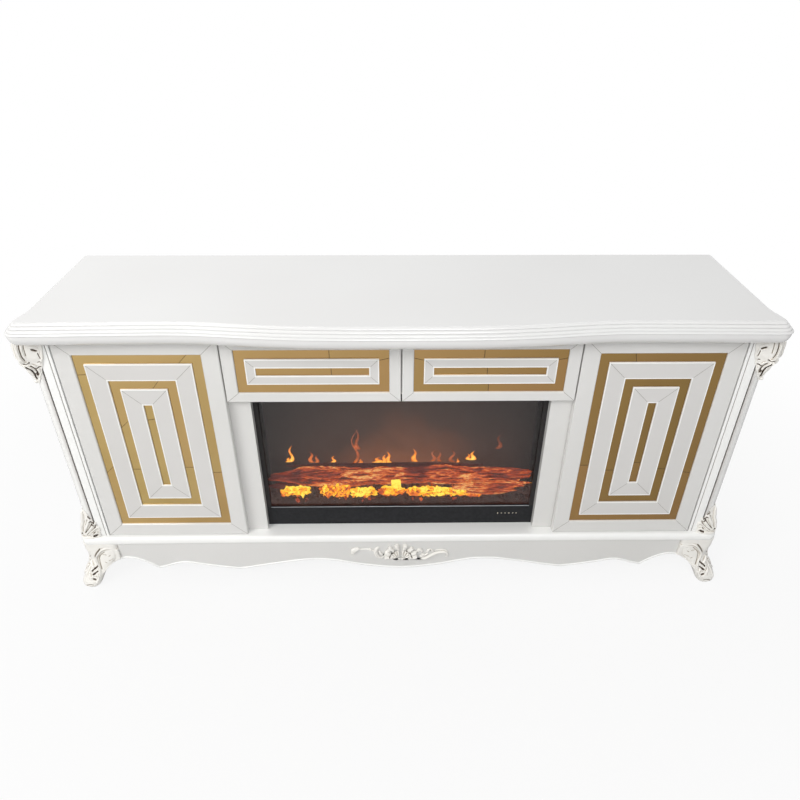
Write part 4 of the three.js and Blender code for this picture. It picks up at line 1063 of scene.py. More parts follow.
cheek_strokes = [
    # The rim of the scroll runs down the band's edge and hooks in over the cheek
    [(1.02, 1, 2.2, 4.6), (1.03, 20, 2.4, 5.6), (1.0, 40, 2.4, 5.8), (0.93, 54, 2.4, 5.4),
     (0.8, 60, 2.2, 5.0), (0.68, 55, 1.8, 3.6)],
    # A second, finer bead inside it
    [(0.8, 3, 1.6, 2.4), (0.84, 20, 1.7, 2.8), (0.82, 36, 1.6, 2.6), (0.74, 47, 1.3, 1.6)],
    # The cheek's raised edge against the post
    [(0.06, 30, 1.8, 2.0), (0.05, 44, 2.2, 2.6), (0.08, 58, 2.2, 2.6), (0.16, 70, 1.8, 2.0)],
    # Long ridges that run together from the scroll to the tip
    [(1.04, 68, 2.2, 4.6), (0.9, 82, 2.4, 5.0), (0.78, 100, 2.2, 4.4), (0.7, 122, 1.8, 3.2)],
    [(0.9, 68, 2.0, 4.4), (0.68, 79, 2.4, 4.8), (0.5, 94, 2.2, 4.2), (0.42, 114, 1.8, 3.0)],
    [(0.62, 67, 1.8, 3.4), (0.42, 74, 2.2, 3.8), (0.24, 84, 2.2, 3.6), (0.16, 100, 1.8, 2.6)],
    # The soft swell round the eye
    [(0.2, 33, 1.6, 1.2), (0.22, 22, 2.0, 1.8), (0.36, 16, 2.2, 2.0), (0.54, 17, 2.2, 1.8)]]
band_strokes = [
    [(-0.9, 1, 2.4, 3.4), (-0.9, 24, 2.6, 4.2), (-0.9, 46, 2.6, 4.2), (-0.81, 62, 2.2, 3.4)],
    [(0.9, 1, 2.4, 3.4), (0.9, 24, 2.6, 4.2), (0.9, 46, 2.6, 4.2), (0.81, 62, 2.2, 3.4)],
    [(0, 58, 3.4, 3.6), (0, 66, 4.6, 4.2), (0, 74, 3.2, 3.0)],
    [(0, 78, 2.0, 2.6), (0, 96, 2.2, 3.0), (0, 112, 2.2, 2.8), (0, 124, 2.4, 2.8)]]
# Cuts: places, half width, depth and painted shade
cheek_cuts = [
    # The eye, its lash and the small slits
    ([(0.3, 29), (0.38, 26.5), (0.43, 25)], 2.8, 5.5, 1.0),
    ([(0.25, 29.5), (0.48, 23.5)], 1.3, 3.0, 0.95),
    ([(0.22, 36), (0.15, 52)], 1.1, 2.6, 0.8), ([(0.14, 62), (0.24, 63)], 1.2, 2.6, 0.75),
    ([(0.12, 78), (0.26, 79), (0.38, 83)], 1.5, 3.6, 0.9),
    ([(0.3, 104), (0.36, 97), (0.52, 100)], 2.1, 4.6, 1.0),
    # The slit under the scroll's hook
    ([(0.68, 61), (0.82, 64), (1.0, 64)], 1.9, 5.5, 1.0),
    # Grooves beside the beads and between the ridges
    ([(0.92, 4), (0.94, 22), (0.91, 40), (0.83, 52)], 1.1, 3.0, 0.42),
    ([(0.72, 4), (0.75, 22), (0.73, 38)], 0.9, 2.0, 0.3),
    ([(0.9, 74), (0.74, 88), (0.62, 106), (0.58, 120)], 1.3, 4.0, 0.72),
    ([(0.66, 72), (0.46, 84), (0.34, 98)], 1.2, 3.6, 0.6)]


capital_steps, band_swell = 40, 0.03


def capital_shell():
    shell = Shell()
    rings = []
    for row in range(capital_steps + 1):
        down = capital_height * row / capital_steps
        spread, band, reach = capital_at(down)
        z = capital_high.z - down
        edges = [(post_point(side * spread, z, cheek_lift), post_point(side * band, z, reach))
                 for side in (-1, 1)]
        outer, inner = ([low.lerp(high, k / 8) for k in range(9)] for low, high in edges)
        front = [post_point(band * place, z, reach * (1 + band_swell * math.cos(math.pi / 2 * place)))
                 for place in (k / 4 - 1 for k in range(1, 8))]
        back = [post_point(spread * (1 - k / 12), z, back_lift) for k in range(25)]
        rings.append(outer + front + inner[::-1] + back)
    shell.loft(rings)
    for side in (-1, 1):
        for stroke in cheek_strokes:
            sweep(shell, cheek_point(side), stroke)
    for stroke in band_strokes:
        sweep(shell, band_point, stroke)
    bead(shell, band_point, 0, 128, 5.2)
    return shell


def capital_dents():
    dents = []
    for side in (-1, 1):
        dents += [(cheek_point(side), *cut) for cut in cheek_cuts]
        dents.append((band_point, [(side * 0.35, 3), (side * 0.35, 52)], 1.2, 2.4, 0.4))
    return dents


carving_voxel, foot_voxel, shell_voxel = 1.1 * mm, 1.4 * mm, 1.0 * mm
capital_mesh = carved("right_capital_carving", "right_post_capital", capital_shell(), carving_voxel,
                      capital_dents())
place_pair("capital_carving", capital_mesh, cream_carving, "post_capital")

# The palmette at the post's foot, in millimetres round the corner and above its base:
# rows of (share up, half spread, reach)
leaf_height = leaf_high.z - leaf_low.z
leaf_rows = [(0.0, 41, 27), (0.15, 42, 26), (0.38, 39, 20), (0.62, 29, 11), (0.85, 19, 7), (1.0, 12, 4.5)]
leaf_lift = 2.6 * mm


def leaf_core(along, up):
    spread, reach = [value * mm for value in table_at(leaf_rows, clamped(up * mm / leaf_height))]
    share = min(abs(along * mm) / spread, 1)
    return leaf_lift + (reach - leaf_lift) * (1 - share) ** 1.25


def leaf_point(along, up, out):
    return post_point(along * mm, leaf_low.z + up * mm, leaf_core(along, up) + out)


# Strokes on one side: section, root in millimetres, then rows as for a sweep
leaf_strokes = [
    (leaf_section, 6, [(3, 12, 2.6, 3.2), (8, 36, 4.0, 4.6), (15, 60, 4.8, 5.2), (22, 76, 3.6, 4.4)]),
    (leaf_section, 6, [(6, 12, 2.6, 3.2), (15, 32, 4.0, 4.6), (26, 48, 4.8, 5.0), (36, 58, 3.4, 4.2)]),
    (leaf_section, 5, [(9, 11, 2.4, 3.0), (18, 25, 3.4, 4.2), (28, 36, 3.8, 4.6), (37, 38, 3.2, 4.2),
                       (42, 30, 2.8, 3.6), (41, 20, 2.6, 3.2)]),
    (round_section, 4, [(15, 14, 2.0, 3.2), (20, 19, 2.2, 3.8), (29, 19, 2.4, 4.0), (36, 14, 2.4, 4.0),
                        (37, 7, 2.2, 3.6), (30, 3, 2.0, 3.0), (20, 3.5, 1.8, 2.6)]),
    (round_section, 4, [(0, 5, 4.4, 4.0), (16, 4, 4.2, 3.6), (30, 3.5, 3.2, 2.8), (40, 4, 2.0, 2.0)]),
    (round_section, 4, [(2, 16, 2.4, 3.4), (9, 20, 2.8, 4.0), (16, 16, 2.6, 3.6)])]
leaf_spine = [(0, 10, 3.4, 3.4), (0, 34, 4.6, 5.0), (0, 62, 5.4, 5.6), (0, 86, 5.0, 5.0),
              (0, 101, 3.0, 3.6)]
leaf_cuts = [
    ([(29, 9), (23, 8.5)], 2.5, 5.0, 0.95), ([(24, 74), (18, 82)], 2.4, 5.0, 1.0),
    ([(28, 56), (20, 62)], 2.2, 4.6, 1.0), ([(32, 46), (23, 53)], 1.9, 4.4, 0.95),
    ([(11, 13), (5, 18), (0, 21)], 1.9, 4.6, 0.95), ([(5, 30), (8, 50), (12, 68)], 1.3, 4.0, 0.42),
    ([(9, 26), (17, 42), (22, 52)], 1.3, 4.0, 0.45), ([(13, 20), (22, 32), (31, 42)], 1.2, 3.6, 0.45),
    ([(14, 13), (20, 18), (27, 23)], 1.1, 3.0, 0.4)]


def palmette_shell():
    shell = Shell()
    rings = []
    for row in range(29):
        up = leaf_height / mm * 0.97 * row / 28
        spread = table_at(leaf_rows, up * mm / leaf_height)[0] * 0.93
        front = [leaf_point(spread * (k / 12 - 1), up, -1 * mm) for k in range(25)]
        back = [post_point(spread * (1 - k / 12) * mm, leaf_low.z + up * mm, back_lift)
                for k in range(25)]
        rings.append(front + back)
    shell.loft(rings)
    sweep(shell, leaf_point, leaf_spine, leaf_section, root=6 * mm)
    for side in (-1, 1):
        for section, root, rows in leaf_strokes:
            stroke = [(side * along, *rest) for along, *rest in rows]
            sweep(shell, leaf_point, stroke, section, root=root * mm)
    return shell


palmette_mesh = carved("right_palmette_carving", "right_post_leaf", palmette_shell(), carving_voxel,
                       both_sides(leaf_point, leaf_cuts))
place_pair("palmette_carving", palmette_mesh, cream_carving, "post_leaf")


# ---------------------------------------------------------------- cabriole feet

# Rows of (height share, size share between sole and top, reach share, cant share)
foot_rows = [
    (0.0, 0.0, 1.08, 1.5), (0.05, 0.25, 1.06, 1.5), (0.14, 0.37, 1.0, 1.4), (0.24, 0.4, 0.86, 1.2),
    (0.33, 0.44, 0.7, 1.05), (0.47, 0.62, 0.42, 0.92), (0.6, 0.9, 0.17, 0.98), (0.74, 1.0, 0.04, 1.3),
    (0.88, 0.98, 0.0, 1.8), (1.0, 1.0, 0.0, 2.0)]
foot_top = front_foot_high.z
foot_centre = Vector((front_foot_low.x + foot_top_size / 2,
                      front_y + foot_top_size / 2 - foot_front_overhang))
rear_centre = Vector((foot_centre.x, base_high.y - foot_top_size / 2))


def foot_row(up_share):
    """A foot's size, reach and cant at a height, between a straight and a curved run through the rows."""
    row = 0
    while row + 2 < len(foot_rows) and up_share > foot_rows[row + 1][0]:
        row += 1
    near = [foot_rows[clamped(k, 0, len(foot_rows) - 1)] for k in range(row - 1, row + 3)]
    t = (up_share - near[1][0]) / (near[2][0] - near[1][0])
    return [mix(mix(b, c, t), curve_at(a, b, c, d, t), 0.6)
            for a, b, c, d in zip(*(entry[1:] for entry in near))]


def foot_point(centre, reach_x, reach_y):
    """Places on a foot: degrees round its middle, millimetres up."""
    def carrier(turn, up, out):
        share = clamped(up * mm / foot_top)
        size, reach, cant = foot_row(share)
        half = (foot_sole_size + (foot_top_size - foot_sole_size) * size) / 2
        squareness = mix(2.4, 7.4, share)
        flank = foot_flank * smooth_step((share - 0.45) / 0.3) if reach_y else 0.0
        c, s = math.cos(math.radians(turn)), math.sin(math.radians(turn))
        knee = max(0.0, (c - s) * math.sqrt(0.5)) / (half * cant) if reach_y else 0.0
        total = sum(face ** squareness for face in (abs(c) / (half + flank / 2), abs(s) / half, knee))
        radius = total ** (-1 / squareness) + out
        return Vector((centre.x + flank / 2 + reach_x * reach + radius * c,
                       centre.y + reach_y * reach + radius * s, share * foot_top))
    return carrier


def foot_shell(carrier, rows=44, sides=72):
    shell = Shell()
    shell.loft([[carrier(360 * k / sides, foot_top / mm * row / rows, 0.0) for k in range(sides)]
                for row in range(rows + 1)])
    return shell


front_carrier = foot_point(foot_centre, foot_toe_reach, -foot_toe_reach)

wing_length = 24 * mm
wing_foot = 96 * mm
wing_fall = 13 * mm
wing_top = 140 * mm
wing_front = foot_centre.y - foot_top_size / 2 + 1 * mm
wing_back = apron_high.y

# Strokes and cuts on one side of the knee, in degrees from it: section, steps, then rows as for a sweep
knee_turn = -45
foot_strokes = [
    # The long S scroll between the flat face and the knee
    (round_section, 6, [(82, 146, 2.4, 2.6), (64, 147, 2.8, 4.0), (48, 141, 3.2, 5.6),
                        (36, 126, 3.2, 6.4), (30, 110, 3.2, 6.6), (36, 94, 3.0, 6.0),
                        (54, 78, 2.8, 5.0), (72, 60, 2.6, 4.2), (82, 44, 2.4, 3.4)]),
    # The lower scroll follows the edge of the arch and joins it
    (round_section, 7, [(112, 100, 2.0, 2.6), (100, 94, 2.4, 4.0), (92, 80, 2.4, 4.2), (90, 64, 2.2, 3.6),
                        (92, 50, 2.0, 2.6)]),
    # Leaf lobes over the knee
    (leaf_section, 7, [(36, 64, 2.6, 3.6), (24, 74, 3.6, 6.6), (8, 82, 3.8, 8.4), (-4, 92, 2.6, 6.4)]),
    (leaf_section, 7, [(44, 50, 2.6, 3.4), (34, 58, 3.4, 5.2), (22, 66, 3.2, 5.8), (12, 72, 2.0, 4.0)]),
    (leaf_section, 7, [(50, 34, 2.6, 3.0), (38, 42, 3.2, 4.4), (24, 50, 3.0, 4.6), (12, 56, 2.0, 3.0)]),
    # The volute at the toe
    (round_section, 6, [(40, 40, 2.2, 2.6), (50, 51, 2.6, 3.6), (66, 52, 2.8, 4.0), (80, 40, 2.6, 3.8),
                        (78, 26, 2.4, 3.4), (62, 21, 2.2, 3.0), (46, 26, 1.8, 2.2)]),
    # Light cuts on the bracket's face
    (round_section, 4, [(68, 118, 1.2, 0.9), (74, 121, 1.5, 1.3), (81, 119, 1.2, 0.9)]),
    (round_section, 4, [(64, 126, 1.2, 0.9), (70, 129, 1.5, 1.3), (77, 127, 1.2, 0.9)]),
    (round_section, 4, [(70, 134, 1.2, 0.9), (76, 137, 1.5, 1.3), (83, 135, 1.2, 0.9)])]
foot_ridge = [(knee_turn, 16, 3.0, 2.2), (knee_turn, 40, 3.6, 3.6), (knee_turn, 62, 3.6, 4.4),
              (knee_turn, 80, 2.4, 3.0)]
foot_cuts = [
    ([(59, 38), (66, 37)], 3.4, 5.0, 0.85), ([(45, 80), (39, 72), (31, 64)], 2.3, 5.0, 1.0),
    ([(59, 63), (52, 58), (43, 53)], 1.8, 4.0, 0.8), ([(64, 17), (42, 18), (14, 9)], 1.6, 2.4, 0.6),
    # The groove on the knee's side of the S scroll, and a fainter one on the other
    ([(44, 146), (31, 130), (22, 108), (28, 92), (42, 83)], 1.9, 3.0, 0.34),
    ([(58, 134), (44, 120), (41, 106), (50, 90), (72, 70)], 1.3, 2.2, 0.25),
    # Small cuts on the bracket's face
    ([(76, 121), (72, 117)], 1.1, 1.6, 0.45), ([(64, 122), (52, 124)], 1.1, 1.6, 0.45),
    ([(86, 104), (76, 99)], 1.1, 1.6, 0.45), ([(74, 92), (66, 95)], 1.0, 1.6, 0.45)]


def front_foot_shell():
    shell = foot_shell(front_carrier)
    for side in (-1, 1):
        for section, steps, rows in foot_strokes:
            stroke = [(knee_turn + side * turn, *rest) for turn, *rest in rows]
            sweep(shell, front_carrier, stroke, section, steps)
    sweep(shell, front_carrier, foot_ridge, leaf_section)
    # The bracket's wing meets the apron
    rings = []
    for share in (k / 12 for k in range(13)):
        x = front_foot_low.x + mix(0.3 * mm, wing_length, share)
        foot = wing_foot - wing_fall * share ** 1.6
        rings.append([(x, y, z) for y, z in (
            (wing_front, foot + 3 * mm), (wing_front + 3 * mm, foot), (wing_back, foot),
            (wing_back, wing_top), (wing_front, wing_top))])
    shell.loft(rings)
    return shell


front_foot_mesh = carved("right_cabriole_foot", "right_front_foot", front_foot_shell(), foot_voxel,
                         both_sides(front_carrier, foot_cuts, knee_turn))
place_pair("cabriole_foot", front_foot_mesh, cream_carving, "front_foot")
rear_foot_mesh = foot_shell(foot_point(rear_centre, rear_foot_reach, 0)).mesh("right_rear_foot_shape")
place_pair("rear_foot_shape", rear_foot_mesh, white_lacquer, "rear_foot", 50)


# ---------------------------------------------------------------- front apron

apron_half = apron_high.x
apron_drop = 127 * mm
# The lower edge: share of the apron's half, share of its drop
wave_shares = [
    (0, 1), (0.131, 0.895), (0.24, 0.722), (0.3215, 0.686), (0.4075, 0.769), (0.558, 0.968),
    (0.603, 0.974), (0.7, 0.86), (0.778, 0.757), (0.846, 0.887), (0.875, 0.943)]
arch_shares = [(0.875, 0.943), (0.908, 0.761), (0.949, 0.604), (0.979, 0.572), (1, 0.6)]
apron_bead_half = 3.4 * mm
apron_bead_rise = 2.6 * mm
apron_bead_root = 1 * mm


def apron_edge():
    """The lower edge from the left end to the right one."""
    def at(shares, side):
        return [(side * along * apron_half, apron_high.z - apron_drop * drop) for along, drop in shares]
    left = spline(at(arch_shares, -1)[::-1], 8)
    middle = spline(at(wave_shares, -1)[::-1] + at(wave_shares, 1)[1:], 8)
    return left + middle[1:] + spline(at(arch_shares, 1), 8)[1:]


def apron_bead(edge):
    """A half-round bead along the scalloped edge."""
    shell = Shell()
    rings = []
    for k, (x, z) in enumerate(edge):
        x0, z0 = edge[max(k - 1, 0)]
        x1, z1 = edge[min(k + 1, len(edge) - 1)]
        run = Vector((x1 - x0, 0, z1 - z0)).normalized()
        up = Vector((-run.z, 0, run.x))
        middle = Vector((x, apron_low.y, z)) + up * apron_bead_half
        ring = [middle + up * (apron_bead_half * c) - Vector((0, apron_bead_rise * s, 0))
                for c, s in arc(8, math.pi)]
        ring += [middle + up * (apron_bead_half * side) + Vector((0, apron_bead_root, 0))
                 for side in (-1, 1)]
        rings.append(ring)
    shell.loft(rings)
    return shell


def apron_board():
    outline = apron_edge() + [(apron_half, apron_high.z), (-apron_half, apron_high.z)]
    shell = Shell()
    shell.loft([[(x, y, z) for x, z in outline] for y in (apron_low.y, apron_high.y)])
    return shell


place_mesh("apron_board", apron_board(), front_shaded_lacquer, ("front_apron",), angle=25)
# A real bead, painted brighter than the apron as a painted highlight
place_mesh("apron_edge_bead", apron_bead(apron_edge()), white_lacquer, angle=50)


def apron_point(x, z, out):
    """Places on the apron's face, in millimetres."""
    return Vector((x * mm, apron_low.y - seat_gap - out, z * mm))


# Strokes of the apron's carving: a ribbed shell with a curled leaf to each side
plain_strokes = [
    # The left crescent's stem
    [(-136, 127, 3.0, 3.5), (-122, 130, 2.6, 4.0), (-108, 130, 2.4, 4.0), (-97, 128, 2.8, 4.5),
     (-86, 122, 2.6, 4.0), (-80, 112, 2.4, 3.5)],
    # The two leaves at the shell's foot
    [(-28, 88, 3.2, 5.0), (-18, 83, 4.6, 9.0), (-8, 84, 4.4, 9.5), (-1, 90, 3.0, 7.0)],
    [(2, 90, 3.0, 7.0), (10, 84, 4.6, 9.5), (24, 84, 4.8, 9.0), (38, 90, 3.4, 6.0)],
    # The long leaf to the right and its curl
    [(16, 80, 3.0, 4.0), (34, 78, 4.2, 6.5), (54, 80, 4.8, 8.0), (78, 88, 4.8, 8.5),
     (100, 103, 4.6, 8.0), (120, 114, 4.4, 7.5), (138, 116, 4.4, 7.0), (150, 108, 4.2, 6.5),
     (151, 97, 3.6, 5.0), (142, 93, 2.6, 3.5)],
    [(60, 100, 2.6, 4.0), (70, 96, 3.0, 5.0), (82, 104, 3.0, 5.0), (90, 112, 2.4, 3.5)]]
leaf_shaped_strokes = [
    # The left crescent
    [(-126, 128, 2.8, 4.0), (-138, 131, 6.4, 8.0), (-150, 125, 9.0, 11.0), (-155, 114, 7.6, 9.5),
     (-150, 104, 3.4, 4.5)],
    # The rolled leaf
    [(-66, 140, 3.4, 4.5), (-77, 132, 5.4, 8.0), (-80, 116, 6.6, 10.0), (-74, 100, 6.4, 9.5),
     (-64, 91, 4.6, 6.5), (-54, 95, 2.6, 3.5)],
    [(-70, 124, 3.0, 5.0), (-64, 112, 4.0, 7.0), (-56, 104, 3.6, 6.0), (-46, 102, 2.4, 4.0)],
    [(-52, 104, 3.4, 5.5), (-44, 116, 4.8, 9.0), (-34, 130, 4.6, 9.0), (-27, 139, 2.8, 5.0)],
    # Lobes of the long leaf
    [(108, 120, 2.2, 3.5), (124, 125, 2.8, 4.5), (140, 124, 2.8, 4.5), (154, 114, 2.4, 3.5)],
    [(52, 112, 3.4, 6.0), (58, 126, 4.8, 9.0), (66, 124, 4.4, 8.0), (70, 112, 3.0, 5.0)],
    [(82, 112, 2.8, 4.5), (90, 124, 4.2, 7.5), (100, 124, 4.0, 7.0), (106, 114, 2.8, 4.5)]]
# The shell's foot, the foot of its ribs, its outer lobes (degrees, reach) and the ribs' degrees
shell_x, shell_z = 1, 86
rib_x, rib_z = 3, 92
shell_lobes = [(14, 46), (35, 52), (56, 58), (78, 63), (102, 64), (124, 60), (146, 53), (167, 46)]
shell_ribs = [22, 42, 62, 80]
apron_cuts = [
    ([(-17, 92), (-12, 91)], 3.0, 8.0, 1.0), ([(14, 92), (21, 91)], 3.0, 8.0, 1.0),
    ([(-30, 126), (-25, 117)], 2.0, 6.0, 0.9), ([(95, 127), (94, 114)], 1.6, 5.0, 0.85),
    ([(0, 96), (0, 112), (1, 126)], 1.6, 6.0, 0.7), ([(72, 116), (78, 110)], 1.6, 5.0, 0.8),
    ([(-136, 123), (-143, 117), (-146, 109)], 2.4, 5.0, 0.75), ([(-70, 110), (-64, 102)], 1.8, 5.0, 0.7),
    ([(-58, 100), (-52, 112)], 1.8, 5.0, 0.75), ([(138, 104), (146, 102)], 1.6, 4.0, 0.7),
    ([(54, 118), (60, 108)], 1.6, 5.0, 0.7)]


def ray(degrees):
    return math.cos(math.radians(degrees)), math.sin(math.radians(degrees))


def apron_carving_shell():
    shell = Shell()
    for section, strokes in ((round_section, plain_strokes), (leaf_section, leaf_shaped_strokes)):
        for rows in strokes:
            sweep(shell, apron_point, rows, section, root=0)
    bead(shell, apron_point, -97, 129, 5.2)
    bead(shell, apron_point, 72, 104, 5.6)
    for turn, reach in shell_lobes:
        c, s = ray(turn)
        lean = 6 * c
        sweep(shell, apron_point, [
            (shell_x + reach * 0.5 * c, shell_z + reach * 0.5 * s, 3.0, 7.0),
            (shell_x + reach * 0.76 * c + lean * 0.4, shell_z + reach * 0.78 * s, 6.0, 12.5),
            (shell_x + reach * c + lean, shell_z + reach * s, 6.6, 14.0),
            (shell_x + reach * 1.06 * c + lean, shell_z + reach * 1.04 * s, 4.4, 9.0)],
            leaf_section, root=0)
    for side in (-1, 1):
        for c, s in map(ray, shell_ribs):
            sweep(shell, apron_point, [
                (side * (rib_x + 1 + 5 * c), rib_z + 3 * s, 1.8, 7.0),
                (side * (rib_x + 20 * c), rib_z + 20 * s, 3.4, 12.0),
                (side * (rib_x + 33 * c), rib_z + 35 * s, 2.6, 9.0)], root=0)
    return shell


def apron_dents():
    # The last cut, with its painted shade, is the dark line between the ribs and the ring of lobes
    line = [(1 + 36 * c, 90 + 38 * s) for c, s in map(ray, range(10, 171, 20))]
    return [(apron_point, *cut) for cut in apron_cuts] + [(apron_point, line, 1.6, 5.0, 0.62)]


shell_mesh = carved("shell_carving", "apron_carving", apron_carving_shell(), shell_voxel, apron_dents(),
                    soften=2)
place_mesh("shell_carving", shell_mesh, cream_carving, ("apron_carving",))


# ---------------------------------------------------------------- mirrors of the fronts

joint_width = 1.4 * mm
joint_sink = 0.3 * mm
ground_edge = 0.5 * mm
ring_lap = 6 * mm
ring_width = 51.5 * mm
sides_round = ("left", "top", "right", "bottom")

# Joints of the mirror strips, channel by channel from the outside in: the side, then the joint's
# place at the channel's outer and inner edge, as shares of the plate from its left or lower edge
mirror_joints = {
    "left_door": [
        [("left", 0.898, 0.899), ("left", 0.337, 0.381), ("top", 0.891, 0.815), ("right", 0.336, 0.336)],
        [("left", 0.608, 0.65), ("left", 0.359, 0.359), ("top", 0.633, 0.57), ("right", 0.369, 0.369)],
        [("across", 0.637, 0.672)]],
    "right_door": [
        [("left", 0.367, 0.367), ("top", 0.276, 0.293), ("right", 0.314, 0.323)],
        [("left", 0.335, 0.335), ("right", 0.341, 0.342)],
        [("across", 0.382, 0.382)]],
    "left_drawer": [
        [("top", 0.614, 0.614), ("right", 0.8, 0.8)],
        [("across", 0.621, 0.621)]],
    "right_drawer": [
        [("left", 0.8, 0.8), ("top", 0.455, 0.455), ("right", 0.788, 0.788), ("bottom", 0.497, 0.497)],
        [("across", 0.481, 0.481)]],
}


class Rectangle:
    def __init__(self, x0, x1, z0, z1):
        self.x0, self.x1, self.z0, self.z1 = x0, x1, z0, z1

    def inset(self, step):
        return Rectangle(self.x0 + step, self.x1 - step, self.z0 + step, self.z1 - step)

    def corner(self, side):
        """The corner at which a side starts, going round from the lower left one."""
        return {"left": Vector((self.x0, self.z0)), "top": Vector((self.x0, self.z1)),
                "right": Vector((self.x1, self.z1)), "bottom": Vector((self.x1, self.z0))}[side]

    def edge(self, side):
        return {"left": self.x0, "right": self.x1, "top": self.z1, "bottom": self.z0}[side]


def node_rectangle(name):
    low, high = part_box(name)
    return Rectangle(low.x, high.x, low.z, high.z)


def joint_ends(plate, seen, laid, joint):
    """A joint's two ends, drawn out from the seen channel to the laid strip's edges."""
    side, outer_share, inner_share = joint
    upright = side in ("left", "right")
    low, high = (plate.z0, plate.z1) if upright else (plate.x0, plate.x1)
    along = [mix(low, high, share) for share in (outer_share, inner_share)]
    seen_edges, laid_edges = ([rectangle.edge(side) for rectangle in pair] for pair in (seen, laid))
    slope = (along[1] - along[0]) / (seen_edges[1] - seen_edges[0])
    ends = []
    for rectangle, edge in zip(laid, laid_edges):
        start, end = (rectangle.z0, rectangle.z1) if upright else (rectangle.x0, rectangle.x1)
        place = along[0] + slope * (edge - seen_edges[0])
        ends.append((edge, clamped(place, start + joint_width, end - joint_width)))
    return [Vector(end) if upright else Vector((end[1], end[0])) for end in ends]


def ribbon(shell, stations, front, back, value):
    """A strip of plate between pairs of edge points, with ground front edges."""
    rings = []
    for outer, inner in stations:
        step = (inner - outer).normalized() * ground_edge
        rings.append([(point.x, y, point.y) for point, y in (
            (outer, back), (outer, front + ground_edge), (outer + step, front),
            (inner - step, front), (inner, front + ground_edge), (inner, back))])
    shell.loft(rings, value)


def channel_pieces(plate, seen, laid, joints):
    """The stations of each mirror piece of one channel, and of each joint."""
    half = joint_width / 2
    walk = zip(sides_round, map(Vector, ((0, 1), (1, 0), (0, -1), (-1, 0))))
    stations, breaks = [], []
    for side, way in walk:
        stations.append((laid[0].corner(side), laid[1].corner(side)))
        ends = [joint_ends(plate, seen, laid, joint) for joint in joints if joint[0] == side]
        for pair in sorted(ends, key=lambda pair: pair[0].dot(way)):
            before, after = (tuple(point + way * step for point in pair) for step in (-half, half))
            stations += [before, after]
            breaks.append(len(stations) - 1)
    pieces = []
    for start, end in zip(breaks, breaks[1:] + [breaks[0] + len(stations)]):
        pieces.append([stations[k % len(stations)] for k in range(start, end)])
    return pieces, [[stations[k - 1], stations[k]] for k in breaks]


def centre_pieces(plate, laid, joint):
    """The same for the plain strip in the middle, jointed across its length."""
    upright = plate.z1 - plate.z0 > plate.x1 - plate.x0
    low, high = (plate.z0, plate.z1) if upright else (plate.x0, plate.x1)
    ends = [mix(low, high, share) for share in joint[1:]]
    half = joint_width / 2

    def station(first, second):
        if upright:
            return Vector((laid.x0, first)), Vector((laid.x1, second))
        return Vector((first, laid.z1)), Vector((second, laid.z0))

    start, end = (laid.z0, laid.z1) if upright else (laid.x0, laid.x1)
    before, after = station(*(place - half for place in ends)), station(*(place + half for place in ends))
    return [[station(start, start), before], [after, station(end, end)]], [[before, after]]


def mirror(name, rings):
    """Mirror strips laid in a front's recess, and the dark joints between them."""
    low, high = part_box(name + "_mirror")
    plate = node_rectangle(name + "_mirror")
    chance = random.Random(name)
    glass, joints = Shell(), Shell()
    seen_outer = laid_outer = plate
    groups = []
    for ring, channel in zip(rings, mirror_joints[name]):
        ring_outer = node_rectangle(name + ring)
        laid_inner = ring_outer.inset(ring_lap)
        groups.append(channel_pieces(plate, (seen_outer, ring_outer), (laid_outer, laid_inner), channel))
        seen_outer = ring_outer.inset(ring_width)
        laid_outer = laid_inner
    groups.append(centre_pieces(plate, laid_outer, mirror_joints[name][-1][0]))
    for pieces, gaps in groups:
        for stations in pieces:
            ribbon(glass, stations, low.y, high.y, chance.uniform(0, 0.7))
        for stations in gaps:
            ribbon(joints, stations, low.y + joint_sink, high.y, None)
    place_mesh(name + "_mirror_strips", glass, gold, (name + "_mirror",), name, 20, "tone")
    place_mesh(name + "_mirror_joints", joints, joint_mastic, body=name, angle=20)


# ---------------------------------------------------------------- edges and mitres of the frames

edge_bead_width = 3.4 * mm
edge_bead_rise = 0.8 * mm
edge_bead_root = 0.8 * mm
mitre_width = 1.1 * mm
mitre_rise = 0.15 * mm
drawer_ring_width = 27 * mm


def edge_bead(shell, rectangle, outward, face_y):
    """A low half-round bead along a frame's edge; outward is 1 at its outer edge, -1 at its inner one."""
    rings = []
    for side in sides_round:
        ring = []
        for c, s in arc(8, math.pi):
            corner = rectangle.inset(outward * edge_bead_width * (1 - c) / 2).corner(side)
            y = face_y + edge_bead_root - (edge_bead_rise + edge_bead_root) * s
            ring.append((corner.x, y, corner.y))
        rings.append(ring)
    shell.loft(rings, closed=True)


def mitre_line(shell, start, end, face_y):
    """A fine line of painted shade across a frame's corner, where its two sides meet."""
    along = (end - start).normalized()
    across = Vector((-along.y, along.x)) * mitre_width / 2
    rings = []
    for place in (start + along * mitre_width, end - along * mitre_width):
        left, right = place + across, place - across
        rings.append([(point.x, face_y + rise, point.y) for point, rise in (
            (left, mitre_rise), (left, -mitre_rise / 2), (place, -mitre_rise), (right, -mitre_rise / 2),
            (right, mitre_rise))])
    shell.loft(rings)


